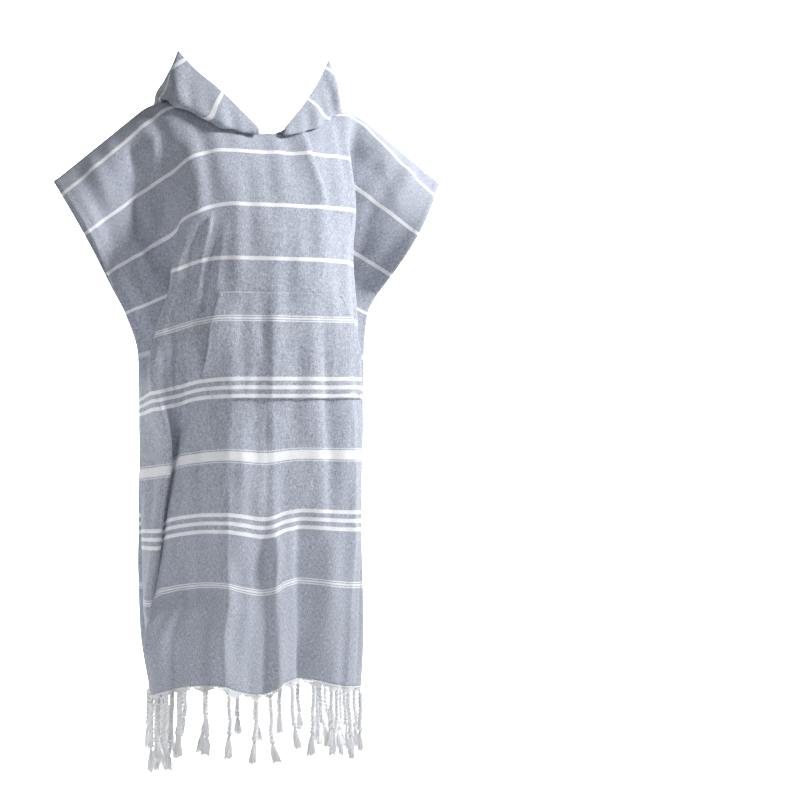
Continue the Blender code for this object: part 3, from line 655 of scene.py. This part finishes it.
def shell(face):
    """Fine middle surface of a panel, with its creases: points, normals, s and t."""
    stations = across_fine()
    levels = np.linspace(YOKE, LENGTH, BODY_FINE_ROWS)
    grid, t = panel_grid(face, stations, YOKE_FINE_ROWS, levels)
    s = np.broadcast_to(stations, t.shape)
    normals = outward(grid, face)
    edge = np.clip((HALF_WIDTH - np.abs(s)) / 0.02, 0, 1) * np.clip(t / 0.02, 0, 1)
    height = (crease_field(CREASES[face], CREASE_COLUMNS, s, t) + ripple_field(s, t)) * edge
    if face == "front":
        height += gathers(s, t)
    grid = grid + normals * height[..., None]
    grid[..., 2] += sag_field(face, s, t)
    return {"points": grid, "normals": outward(grid, face), "s": s, "t": t}


def sampler(sheet):
    """A function that gives a shell's point and outward normal at any (s, t)."""
    points, normals, t = sheet["points"], sheet["normals"], sheet["t"]
    stations = sheet["s"][0]

    def at(s, level):
        j = int(np.clip(np.searchsorted(stations, s) - 1, 0, len(stations) - 2))
        u = float(np.clip((s - stations[j]) / (stations[j + 1] - stations[j]), 0.0, 1.0))
        column_t = (1 - u) * t[:, j] + u * t[:, j + 1]
        i = int(np.clip(np.searchsorted(column_t, level) - 1, 0, len(column_t) - 2))
        v = float(np.clip((level - column_t[i]) / (column_t[i + 1] - column_t[i]), 0.0, 1.0))
        mixed = [(1 - v) * ((1 - u) * grid[i, j] + u * grid[i, j + 1])
                 + v * ((1 - u) * grid[i + 1, j] + u * grid[i + 1, j + 1])
                 for grid in (points, normals)]
        return mixed[0], unit(mixed[1])

    return at


# ---- meshes ----

def make_piece(name, points, faces, material, cut=None):
    """A mesh object; `cut` is each point's place on the flat cloth, kept for its material."""
    mesh = bpy.data.meshes.new(name)
    mesh.from_pydata(np.asarray(points).tolist(), [], faces)
    if cut is not None:
        layer = mesh.attributes.new("cut", "FLOAT_VECTOR", "POINT")
        layer.data.foreach_set("vector", np.asarray(cut, dtype=np.float32).ravel())
    mesh.update()
    mesh.materials.append(material)
    mesh.shade_smooth()
    piece = bpy.data.objects.new(name, mesh)
    bpy.context.scene.collection.objects.link(piece)
    return piece


def sheet_mesh(points, normals, thickness, cut):
    """Both faces and the edges of a thin sheet on a grid, and the cut place of each point."""
    rows, columns = points.shape[:2]
    outer = points + normals * thickness / 2.0
    inner = points - normals * thickness / 2.0
    index = np.arange(rows * columns).reshape(rows, columns)
    quads = np.stack([index[:-1, :-1], index[1:, :-1], index[1:, 1:], index[:-1, 1:]], -1)
    quads = quads.reshape(-1, 4)
    count = rows * columns
    rim = np.concatenate([index[0, :-1], index[:-1, -1], index[-1, :0:-1], index[:0:-1, 0]])
    ahead = np.roll(rim, -1)
    edges = np.stack([rim, ahead, ahead + count, rim + count], -1)
    faces = np.concatenate([quads, quads[:, ::-1] + count, edges])
    across = points[rows // 2, columns // 2 + 1] - points[rows // 2, columns // 2]
    down = points[rows // 2 + 1, columns // 2] - points[rows // 2, columns // 2]
    if np.cross(down, across) @ normals[rows // 2, columns // 2] < 0.0:
        faces = faces[:, ::-1]
    vertices = np.concatenate([outer.reshape(-1, 3), inner.reshape(-1, 3)])
    cut = np.concatenate([cut.reshape(-1, 3)] * 2)
    return vertices, faces.tolist(), cut


def cloth_piece(name, points, normals, cut, material):
    vertices, faces, cut = sheet_mesh(points, normals, CLOTH, cut)
    return make_piece(name, vertices, faces, material, cut)


def tube(path, radius, sides):
    """A closed tube along a path; radius is one number or one for each point."""
    path = np.asarray(path, dtype=float)
    radius = np.broadcast_to(radius, len(path))
    tangents = unit(np.gradient(path, axis=0))
    guide = np.array([0.0, 1.0, 0.0]) if abs(tangents[0][1]) < 0.8 else np.array([1.0, 0.0, 0.0])
    side = unit(np.cross(tangents, guide))
    other = np.cross(tangents, side)
    turn = np.linspace(0.0, 2.0 * math.pi, sides, endpoint=False)
    ring = (side[:, None] * np.cos(turn)[None, :, None]
            + other[:, None] * np.sin(turn)[None, :, None])
    vertices = (path[:, None] + ring * radius[:, None, None]).reshape(-1, 3)
    faces = []
    for i in range(len(path) - 1):
        for k in range(sides):
            a, b = i * sides + k, i * sides + (k + 1) % sides
            faces.append((a, b, b + sides, a + sides))
    faces.append(tuple(range(sides))[::-1])
    faces.append(tuple((len(path) - 1) * sides + k for k in range(sides)))
    return vertices, faces


def joined(parts):
    """One list of vertices and faces from many."""
    vertices, faces, start = [], [], 0
    for some_vertices, some_faces in parts:
        vertices.append(some_vertices)
        faces += [tuple(index + start for index in face) for face in some_faces]
        start += len(some_vertices)
    return np.concatenate(vertices), faces


# ---- materials ----

class Nodes:
    """Short calls for building a node tree."""

    def __init__(self, name):
        self.material = bpy.data.materials.new(name)
        self.material.use_nodes = True
        self.tree = self.material.node_tree
        self.shader = self.tree.nodes["Principled BSDF"]

    def feed(self, socket, value):
        if isinstance(value, bpy.types.NodeSocket):
            self.tree.links.new(value, socket)
        else:
            socket.default_value = value

    def surface(self, inputs):
        for name, value in inputs.items():
            self.feed(self.shader.inputs[name], value)

    def math(self, operation, a, b=0.0):
        node = self.tree.nodes.new("ShaderNodeMath")
        node.operation = operation
        self.feed(node.inputs[0], a)
        self.feed(node.inputs[1], b)
        return node.outputs[0]

    def add(self, a, b):
        return self.math("ADD", a, b)

    def times(self, a, b):
        return self.math("MULTIPLY", a, b)

    def noise(self, vector, scale, detail=2.0, roughness=0.5):
        node = self.tree.nodes.new("ShaderNodeTexNoise")
        self.feed(node.inputs["Vector"], vector)
        node.inputs["Scale"].default_value = scale
        node.inputs["Detail"].default_value = detail
        node.inputs["Roughness"].default_value = roughness
        return node.outputs["Fac"]

    def scaled(self, vector, factors):
        node = self.tree.nodes.new("ShaderNodeVectorMath")
        node.operation = "MULTIPLY"
        self.feed(node.inputs[0], vector)
        node.inputs[1].default_value = factors
        return node.outputs[0]

    def between(self, value, low, high, out_low=0.0, out_high=1.0):
        node = self.tree.nodes.new("ShaderNodeMapRange")
        self.feed(node.inputs["Value"], value)
        for name, number in (("From Min", low), ("From Max", high),
                             ("To Min", out_low), ("To Max", out_high)):
            node.inputs[name].default_value = number
        return node.outputs["Result"]

    def mix(self, factor, first, second):
        node = self.tree.nodes.new("ShaderNodeMix")
        node.data_type = "RGBA"
        self.feed(node.inputs["Factor"], factor)
        self.feed(node.inputs["A"], first)
        self.feed(node.inputs["B"], second)
        return node.outputs["Result"]

    def bump(self, height, distance, strength, normal=None):
        node = self.tree.nodes.new("ShaderNodeBump")
        node.inputs["Distance"].default_value = distance
        node.inputs["Strength"].default_value = strength
        self.feed(node.inputs["Height"], height)
        if normal is not None:
            self.feed(node.inputs["Normal"], normal)
        return node.outputs["Normal"]


DARK_YARN = (0.205, 0.235, 0.310, 1.0)
MIDDLE_YARN = (0.385, 0.418, 0.500, 1.0)
PALE_YARN = (0.62, 0.65, 0.71, 1.0)
WHITE_YARN = (0.87, 0.88, 0.91, 1.0)
SHADED_WHITE = (0.79, 0.81, 0.86, 1.0)
# Noise of the yarns, in cells to the metre across and down, and each one's share.
WARP_SCALE, WARP_SHARE = (760.0, 150.0, 1.0), 0.42
WEFT_SCALE, WEFT_SHARE = (200.0, 700.0, 1.0), 0.33
SPECKLE_SCALE, SPECKLE_SHARE = (640.0, 640.0, 1.0), 0.25
CLOUD_SCALE, CLOUD_SHARE = (9.0, 6.0, 1.0), 0.03
# Heather at which the yarn is dark, middling and pale.
HEATHER_LEVELS = (0.365, 0.495, 0.635)
STRIPE_EDGE, STRIPE_RAGGED = 0.0005, 0.0009
WEAVE_RATE, WEAVE_HEIGHT = 4200.0, 0.0005


def cloth_material(name, stripes):
    """Heathered flat weave, with white stripes woven at the levels given."""
    nodes = Nodes(name)
    place = nodes.tree.nodes.new("ShaderNodeAttribute")
    place.attribute_name = "cut"
    cut = place.outputs["Vector"]
    parts = nodes.tree.nodes.new("ShaderNodeSeparateXYZ")
    nodes.feed(parts.inputs[0], cut)
    across, down, level = (parts.outputs[name] for name in "XYZ")

    # yarns: slubs along the warp and the weft, and speckles where they cross
    warp = nodes.noise(nodes.scaled(cut, WARP_SCALE), 1.0, 2.0, 0.6)
    weft = nodes.noise(nodes.scaled(cut, WEFT_SCALE), 1.0, 2.0, 0.6)
    speckle = nodes.noise(nodes.scaled(cut, SPECKLE_SCALE), 1.0, 1.0, 0.5)
    cloud = nodes.noise(nodes.scaled(cut, CLOUD_SCALE), 1.0, 3.0, 0.55)
    heather = nodes.add(nodes.times(warp, WARP_SHARE), nodes.times(weft, WEFT_SHARE))
    heather = nodes.add(heather, nodes.times(speckle, SPECKLE_SHARE))
    heather = nodes.add(heather, nodes.times(nodes.math("SUBTRACT", cloud, 0.5), CLOUD_SHARE))
    low, middle, high = HEATHER_LEVELS
    darker = nodes.mix(nodes.between(heather, low, middle), DARK_YARN, MIDDLE_YARN)
    yarn = nodes.mix(nodes.between(heather, middle, high), darker, PALE_YARN)

    # stripes: solid white yarn with the same weave, edges a thread wide
    ragged = nodes.times(nodes.math("SUBTRACT", warp, 0.5), STRIPE_RAGGED)
    level = nodes.add(level, ragged)
    mask = None
    for t, half, strength in stripes:
        off = nodes.math("ABSOLUTE", nodes.math("SUBTRACT", level, t))
        band = nodes.between(off, half - STRIPE_EDGE, half + STRIPE_EDGE, strength, 0.0)
        mask = band if mask is None else nodes.math("MAXIMUM", mask, band)
    white = nodes.mix(nodes.between(weft, 0.3, 0.6), SHADED_WHITE, WHITE_YARN)

    # the weave itself, and the stripes' thicker yarn standing a little proud
    weave = nodes.times(nodes.math("SINE", nodes.times(across, WEAVE_RATE)),
                        nodes.math("SINE", nodes.times(down, WEAVE_RATE)))
    slubs = nodes.add(nodes.times(weave, 0.25), heather)
    fine = nodes.bump(slubs, WEAVE_HEIGHT, 0.55)
    nodes.surface({
        "Base Color": nodes.mix(mask, yarn, white),
        "Normal": nodes.bump(mask, WEAVE_HEIGHT, 0.5, fine),
        "Roughness": nodes.between(heather, 0.3, 0.7, 0.95, 0.82),
        "Specular IOR Level": 0.18,
        "Sheen Weight": 0.25,
        "Sheen Roughness": 0.6,
    })
    return nodes.material


def yarn_material(name, colour, spread):
    """White cotton yarn: fine fibres along it, and a soft surface."""
    nodes = Nodes(name)
    place = nodes.tree.nodes.new("ShaderNodeTexCoord").outputs["Object"]
    fibre = nodes.noise(nodes.scaled(place, (1600.0, 1600.0, 320.0)), 1.0, 3.0, 0.6)
    broad = nodes.noise(place, 60.0, 2.0, 0.5)
    shade = tuple(max(0.0, value - spread) for value in colour[:3]) + (1.0,)
    tone = nodes.add(nodes.times(fibre, 0.7), nodes.times(broad, 0.3))
    nodes.surface({
        "Base Color": nodes.mix(nodes.between(tone, 0.35, 0.65), shade, colour),
        "Normal": nodes.bump(fibre, 0.0004, 0.6),
        "Roughness": nodes.between(fibre, 0.3, 0.7, 0.95, 0.8),
        "Specular IOR Level": 0.2,
        "Sheen Weight": 0.3,
    })
    return nodes.material


# ---- panels ----

def cuff_turn(sheet):
    """The turned and stitched edge of each cuff stands a little proud."""
    inside = HALF_WIDTH - CUFF_HEM
    rise = np.clip((np.abs(sheet["s"]) - inside) / CUFF_STEP, 0.0, 1.0)
    near = np.clip((ARMHOLE - sheet["t"]) / CUFF_FADE, 0.0, 1.0)
    sheet["points"] = sheet["points"] + sheet["normals"] * (rise * near * CUFF_RISE)[..., None]


def build_panel(face, material):
    sheet = shell(face)
    cuff_turn(sheet)
    cut = np.stack([sheet["s"], sheet["t"], sheet["t"]], axis=-1)
    piece = cloth_piece(face + "_cloth", sheet["points"], sheet["normals"], cut, material)
    return piece, sheet


# ---- hood ----

HOOD_SHARE_AT_FOLD = {"left": 0.71, "right": 0.64}


def hood_share(side, cells):
    """How far up the hood each row lies: 0 at the neck seam, 1 at the brim."""
    fold = HOOD_SHARE_AT_FOLD[side]
    marks = [part * fold for part in (0.0, 0.02, 0.04, 0.25, 0.60, 0.93, 1.0)]
    marks += [fold + 0.03, 0.5 * (fold + 1.03), 1.0]
    share = [marks[k] + (marks[k + 1] - marks[k]) * n / count
             for k, count in enumerate(cells) for n in range(count)]
    return np.array(share + [1.0])


def build_hood_half(side, material):
    rising = np.linspace(HOOD_START[side], BRIM_TIP, HOOD_FINE_TURNS[0] + 1)
    falling = np.linspace(BRIM_TIP, 180.0, HOOD_FINE_TURNS[1] + 1)[1:]
    turns = np.concatenate([rising, falling])
    points = hood_grid(side, turns, HOOD_FINE_CELLS)
    run, seam = run_along(points[-1]), run_along(points[0])
    share = hood_share(side, HOOD_FINE_CELLS)
    stripe = share[:, None] * (0.003 + run)[None, :]
    along = 0.5 * (run + seam)[None, :] * np.ones_like(stripe)
    rise = np.linalg.norm(np.diff(points, axis=0), axis=2)
    up = np.concatenate([np.zeros((1, len(turns))), np.cumsum(rise, axis=0)])
    normals = unit(np.cross(np.gradient(points, axis=1), np.gradient(points, axis=0)))
    middle = len(turns) // 2
    if normals[sum(HOOD_FINE_CELLS[:4]), middle] @ neck_seam(side, turns[middle])[2] > 0.0:
        normals = -normals
    soft = np.sin(math.pi * np.clip((share - 0.5) * 2.0, 0, 1))[:, None]
    wave = (0.0016 * np.sin(2 * math.pi * (run / 0.085))[None, :]
            + 0.0012 * np.sin(2 * math.pi * (run / 0.047) + 1.0)[None, :]) * soft
    points = points + normals * wave[..., None]
    hand = HAND[side]
    points[:, -1, 0] = hand * (SEAM / 2.0)
    points[:, :-1, 0] = hand * np.maximum(hand * points[:, :-1, 0], SEAM)
    cut = np.stack([along, up, stripe], axis=-1)
    return cloth_piece("hood_" + side + "_cloth", points, normals, cut, material)


# ---- pocket ----

def pocket_half(t):
    return float(np.interp(t, column(POCKET, POCKET_COLUMNS, "t"),
                           column(POCKET, POCKET_COLUMNS, "half")))


def pocket_place(front, t, share):
    """A point of the pocket: how far down, and from -1 to 1 across it."""
    s = pocket_half(t) * share
    top, bottom = POCKET[0][0], POCKET[-1][0]
    down = math.sin(math.pi * np.clip((t - top) / (bottom - top), 0.0, 1.0))
    opening = max(0.0, abs(share) - OPENING_FROM) / (1.0 - OPENING_FROM) * down
    point, normal = front(s, t)
    return point + normal * (CLOTH + POCKET_CLEAR + OPENING_PUFF * opening), normal, s


def build_pocket(front, material):
    levels = np.linspace(POCKET[0][0], POCKET[-1][0], 72)
    shares = np.linspace(-1.0, 1.0, 111)
    points = np.zeros((len(levels), len(shares), 3))
    cut = np.zeros_like(points)
    normals = np.zeros_like(points)
    for i, t in enumerate(levels):
        for j, share in enumerate(shares):
            points[i, j], normals[i, j], s = pocket_place(front, t, share)
            cut[i, j] = (s, t, t)
    return cloth_piece("pocket_cloth", points, normals, cut, material)


# ---- sewing ----

def stitches(places, length=0.0026, gap=0.0012, radius=0.00034):
    """Short threads laid along a line of (point, normal) places."""
    points = np.array([point for point, normal in places])
    normals = np.array([normal for point, normal in places])
    run = run_along(points)
    parts = []
    for start in np.arange(0.0, run[-1] - length, length + gap):
        spots = start + length * np.array([0.0, 0.25, 0.75, 1.0])
        path = np.stack([np.interp(spots, run, points[:, axis]) for axis in range(3)], axis=-1)
        lift = np.stack([np.interp(spots, run, normals[:, axis]) for axis in range(3)], axis=-1)
        path = path + unit(lift) * (np.array([-0.2, 1.0, 1.0, -0.2]) * radius)[:, None]
        parts.append(tube(path, radius, 4))
    return parts


def on_cloth(at, places):
    """Points on the outside of a panel, at the (s, t) places."""
    found = [at(s, t) for s, t in places]
    return [(point + normal * CLOTH / 2.0, normal) for point, normal in found]


def neck_line(at, face, away):
    depth = NECK_DEPTH[face] + away
    turns = np.radians(np.linspace(-86.0, 86.0, 160))
    return on_cloth(at, [((NECK_HALF + away) * math.sin(a), depth * math.cos(a))
                         for a in turns])


def cuff_line(at, side, away):
    return on_cloth(at, [(HAND[side] * (HALF_WIDTH - away), t)
                         for t in np.linspace(0.004, ARMHOLE - 0.004, 90)])


def pocket_line(front, places):
    found = [pocket_place(front, t, share) for t, share in places]
    return [(point + normal * CLOTH / 2.0, normal) for point, normal, s in found]


def bartack(front, t, share):
    """A dense zigzag where the pocket's opening starts and ends."""
    parts = []
    hand = 1.0 if share > 0.0 else -1.0
    for k in range(9):
        level = t + 0.0006 * (k % 2)
        ends = [(level + 0.0004 * k, share - hand * 0.006 * k / 8.0 - hand * 0.03),
                (level + 0.004 + 0.0004 * k, share - hand * 0.006 * k / 8.0 - hand * 0.01)]
        parts += stitches(pocket_line(front, ends), 0.0046, 0.001, 0.0005)
    return parts


def build_sewing(at, material):
    """Neck, cuff and pocket stitching: one piece for the pocket, and one for each panel's neck and
    cuffs.
    """
    top, bottom = POCKET[0][0] + 0.003, POCKET[-1][0] - 0.003
    across = np.linspace(-0.985, 0.985, 120)
    down = np.linspace(top, bottom, 70)
    pocket = stitches(pocket_line(at["front"], [(top, share) for share in across]))
    pocket += stitches(pocket_line(at["front"], [(bottom, share) for share in across]))
    for edge in (-0.972, 0.972):
        pocket += stitches(pocket_line(at["front"], [(t, edge) for t in down]))
        pocket += bartack(at["front"], top, edge)
        pocket += bartack(at["front"], bottom - 0.008, edge)
    pieces = [make_piece("stitching_pocket", *joined(pocket), material)]
    for face in ("front", "back"):
        parts = stitches(neck_line(at[face], face, 0.0045))
        for side in ("left", "right"):
            parts += stitches(cuff_line(at[face], side, CUFF_HEM - 0.0012))
        pieces.append(make_piece("stitching_" + face, *joined(parts), material))
    return pieces


# ---- fringe: warp yarns gathered under the hem, twisted, knotted and left as a brush ----
# A ply goes once round in PLY_TURN; the two lie PLY_OFFSET from the strand's middle line.
PLY_TURN, PLY_OFFSET, PLY_RADIUS = 0.0150, 0.0022, 0.0029
ROOT_DROP = 0.011
ROPE_LENGTH, BRUSH_LENGTH = 0.070, 0.043
BRUSH_YARNS = 24
BRUSH_RADII = (0.0017, 0.0017, 0.0016, 0.0014, 0.0009)
GOLDEN_TURN = 2.399
WRAP_TURNS, WRAP_RADIUS, WRAP_YARN = 1.35, 0.0046, 0.0017
# Warp yarns drawn from the hem into a strand: their spacing, and the radius along each.
WARP_PITCH = 0.0034
WARP_RADII = (0.0013, 0.0014, 0.0014, 0.0013, 0.0012)
HEM_END = 0.003
OUTER_GATHER = 0.04
# The knot: how far along it lies, and its radius there.
KNOT = ((0.0, 0.0030), (0.0022, 0.0052), (0.0050, 0.0058), (0.0078, 0.0050), (0.0100, 0.0034))


def strand_line(root, across, deep, k, length):
    """The middle line of one strand from its root to its knot."""
    u = np.linspace(0.0, 1.0, 30)[:, None]
    lean = (0.004 * math.sin(1.9 * k + 0.4) * across
            + 0.003 * (0.6 + 0.4 * math.cos(3.1 * k)) * deep)
    wobble = 0.0016 * np.sin(2 * math.pi * (u * 1.3 + 0.17 * k)) * across * u
    return root + lean * u ** 2 + wobble + DOWN * length * u


def build_strand(root, across, deep, k):
    rope = ROPE_LENGTH + 0.008 * math.sin(2.7 * k + 0.6) + 0.004 * math.sin(5.3 * k)
    brush = BRUSH_LENGTH + 0.005 * math.sin(4.1 * k + 1.0)
    line = strand_line(root, across, deep, k, rope)
    turn = 2 * math.pi * np.linspace(0.0, rope, len(line)) / PLY_TURN + k
    parts = []
    for phase in (0.0, math.pi):
        grow = np.linspace(1.0, 1.08, len(line))[:, None]
        path = line + PLY_OFFSET * grow * (np.cos(turn + phase)[:, None] * across
                                           + np.sin(turn + phase)[:, None] * deep)
        parts.append(tube(path, PLY_RADIUS, 6))
    tip = line[-1]
    way = unit(line[-1] - line[-3])
    parts.append(tube([tip + way * (step - 0.003) for step, radius in KNOT],
                      np.array([radius for step, radius in KNOT]), 8))
    loop = np.linspace(0.0, 2 * math.pi * WRAP_TURNS, 16)
    tilt = 0.35 * math.sin(k)
    wrap = [tip + way * (0.0012 + 0.0020 * a / 3.0 + tilt * 0.002 * math.cos(a))
            + WRAP_RADIUS * (math.cos(a) * across + math.sin(a) * deep) for a in loop]
    parts.append(tube(wrap, WRAP_YARN, 5))
    start = tip + way * 0.005
    for n in range(BRUSH_YARNS):
        angle = GOLDEN_TURN * n + k
        spread = math.sqrt((n + 0.5) / BRUSH_YARNS)
        out = math.cos(angle) * across * 1.25 + math.sin(angle) * deep * 0.7
        length = brush * (1.0 - 0.12 * abs(math.sin(3.7 * n + k)))
        steps = np.linspace(0.0, 1.0, 5)[:, None]
        bow = 0.0018 + 0.0050 * spread * steps ** 0.8 + 0.0012 * np.sin(5 * steps + n)
        path = start + way * length * steps + out * bow * np.clip(steps * 3, 0.25, 1)
        parts.append(tube(path, np.array(BRUSH_RADII), 4))
    return parts


def build_fringe(face, at, material):
    """Strands, the yarns that gather into them, and the white cord along the hem's edge."""
    places = FRINGE_PLACES[face]
    parts = []
    for k, s in enumerate(places):
        before = places[k - 1] if k else s - OUTER_GATHER
        after = places[k + 1] if k + 1 < len(places) else s + OUTER_GATHER
        low = max(0.5 * (before + s), -HALF_WIDTH + HEM_END)
        high = min(0.5 * (after + s), HALF_WIDTH - HEM_END)
        middle, normal = at(s, LENGTH)
        normal = unit(normal * (1.0, 1.0, 0.0))
        across = unit(at(min(s + 0.004, HALF_WIDTH), LENGTH)[0] - at(s - 0.004, LENGTH)[0])
        across = unit(across * (1.0, 1.0, 0.0))
        root = middle + DOWN * ROOT_DROP
        count = int(np.clip((high - low) / WARP_PITCH, 5, 16))
        for n in range(count):
            edge = low + (high - low) * (n + 0.5) / count
            begin = at(edge, LENGTH - 0.0012)[0]
            pull = (edge - s) / max(high - s, s - low)
            hang = 0.0050 + 0.0035 * abs(pull) + 0.0012 * math.sin(7.0 * n + k)
            knee = begin * 0.45 + root * 0.55
            knee[2] = begin[2] - hang
            path = [begin, begin * 0.85 + root * 0.15 + DOWN * hang * 0.55, knee,
                    root * 0.85 + knee * 0.15 + DOWN * 0.002, root + DOWN * 0.006]
            parts.append(tube(path, np.array(WARP_RADII), 4))
        parts += build_strand(root, across, normal, k + (0 if face == "front" else 40))
    edge = np.linspace(-HALF_WIDTH + HEM_END, HALF_WIDTH - HEM_END, 420)
    cord = np.array([at(s, LENGTH - 0.0008)[0] + DOWN * (0.0014 + 0.0007 * math.sin(900.0 * s))
                     for s in edge])
    parts.append(tube(cord, 0.0016 + 0.0004 * np.sin(1500.0 * edge), 5))
    return make_piece("fringe_" + face + "_yarn", *joined(parts), material)


# ---- stage, light and camera ----
CAMERA_TURN = math.radians(26.0)
CAMERA_AWAY, CAMERA_HEIGHT = 4.5, -0.546
IMAGE_SIZE = 800.0
# At the object's middle plane a metre is 536.5 pixels; the object's axis lies at AXIS_PX.
FOCAL_PX = 536.5 * CAMERA_AWAY
AXIS_PX = 251.0
SENSOR = 36.0
FLOOR = -1.50
# The floor's near end, where it bends up, the bend's radius, the top, and half the width.
STAGE_NEAR, STAGE_BEND, STAGE_RADIUS, STAGE_TOP, STAGE_HALF = -9.0, 4.0, 2.5, 9.0, 12.0
# Each light's place, target, size, power in watts, and spread in degrees.
LIGHTS = {
    "key": ((2.7, -1.3, 1.45), (0.05, 0.0, -0.25), 0.9, 23.0, 62.0),
    "fill": ((-1.2, -4.0, 0.2), (0.0, 0.0, -0.6), 2.4, 13.0, 180.0),
    "side": ((-2.6, -1.6, -0.8), (-0.2, 0.0, -0.75), 0.7, 1.2, 40.0),
    "backdrop": ((1.6, 2.2, 2.6), (2.6, 5.5, -0.6), 2.5, 900.0, 180.0),
}
WORLD_LIGHT = 0.18


def build_stage():
    """A pale floor that sweeps up into a backdrop."""
    profile = [(STAGE_NEAR, 0.0), (STAGE_BEND, 0.0)]
    profile += [(STAGE_BEND + STAGE_RADIUS * math.sin(a),
                 STAGE_RADIUS - STAGE_RADIUS * math.cos(a))
                for a in np.linspace(0.1, math.pi / 2.0, 14)]
    profile += [(STAGE_BEND + STAGE_RADIUS, STAGE_TOP)]
    back = np.array([math.sin(CAMERA_TURN), math.cos(CAMERA_TURN), 0.0])
    side = np.array([math.cos(CAMERA_TURN), -math.sin(CAMERA_TURN), 0.0])
    vertices = [back * away + side * x + np.array([0.0, 0.0, FLOOR + up])
                for away, up in profile for x in (-STAGE_HALF, STAGE_HALF)]
    faces = [(2 * i, 2 * i + 1, 2 * i + 3, 2 * i + 2) for i in range(len(profile) - 1)]
    nodes = Nodes("pale_floor")
    grain = nodes.noise(nodes.tree.nodes.new("ShaderNodeTexCoord").outputs["Object"], 4.0)
    nodes.feed(nodes.shader.inputs["Base Color"],
               nodes.mix(grain, (0.93, 0.93, 0.93, 1.0), (0.95, 0.95, 0.95, 1.0)))
    nodes.shader.inputs["Roughness"].default_value = 0.9
    floor = make_piece("floor", vertices, faces, nodes.material)


def aim(item, target):
    item.rotation_euler = (target - item.location).to_track_quat("-Z", "Y").to_euler()


def add_light(name, place, target, size, power, spread):
    light = bpy.data.lights.new(name, "AREA")
    light.shape = "DISK"
    light.size = size
    light.energy = power
    light.spread = math.radians(spread)
    item = bpy.data.objects.new(name, light)
    item.location = Vector(place)
    bpy.context.scene.collection.objects.link(item)
    aim(item, Vector(target))


def build_lights():
    world = bpy.data.worlds.new("studio")
    world.use_nodes = True
    background = world.node_tree.nodes["Background"].inputs
    background["Color"].default_value = (1.0, 1.0, 1.0, 1.0)
    background["Strength"].default_value = WORLD_LIGHT
    bpy.context.scene.world = world
    for name, settings in LIGHTS.items():
        add_light(name, *settings)


def build_camera():
    data = bpy.data.cameras.new("camera")
    data.sensor_width = SENSOR
    data.lens = FOCAL_PX / IMAGE_SIZE * SENSOR
    data.shift_x = (IMAGE_SIZE / 2.0 - AXIS_PX) / IMAGE_SIZE
    camera = bpy.data.objects.new("camera", data)
    camera.location = (-CAMERA_AWAY * math.sin(CAMERA_TURN),
                       -CAMERA_AWAY * math.cos(CAMERA_TURN), CAMERA_HEIGHT)
    camera.rotation_euler = (math.pi / 2.0, 0.0, -CAMERA_TURN)
    bpy.context.scene.collection.objects.link(camera)
    bpy.context.scene.camera = camera


def build():
    bpy.context.scene.view_settings.view_transform = "Standard"
    build_camera()
    build_lights()
    build_stage()
    panel_cloth = cloth_material("panel_weave", PANEL_STRIPES)
    hood_cloth = cloth_material("hood_weave", HOOD_STRIPES)
    yarn = yarn_material("white_yarn", (0.87, 0.88, 0.90, 1.0), 0.07)
    thread = yarn_material("sewing_thread", (0.66, 0.69, 0.76, 1.0), 0.04)
    pieces = []
    at = {}
    for face in ("front", "back"):
        piece, sheet = build_panel(face, panel_cloth)
        at[face] = sampler(sheet)
        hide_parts(face)
        fringe = build_fringe(face, at[face], yarn)
        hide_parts("fringe_" + face)
        pieces += [piece, fringe]
    for side in ("left", "right"):
        hood = build_hood_half(side, hood_cloth)
        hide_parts("hood_" + side)
        pieces.append(hood)
    pocket = build_pocket(at["front"], panel_cloth)
    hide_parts("pocket")
    2 * max(column(POCKET, POCKET_COLUMNS, "half"))
    pieces.append(pocket)
    for piece in build_sewing(at, thread):
        pieces.append(piece)
    for piece in pieces:
        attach(piece, "root")


build()
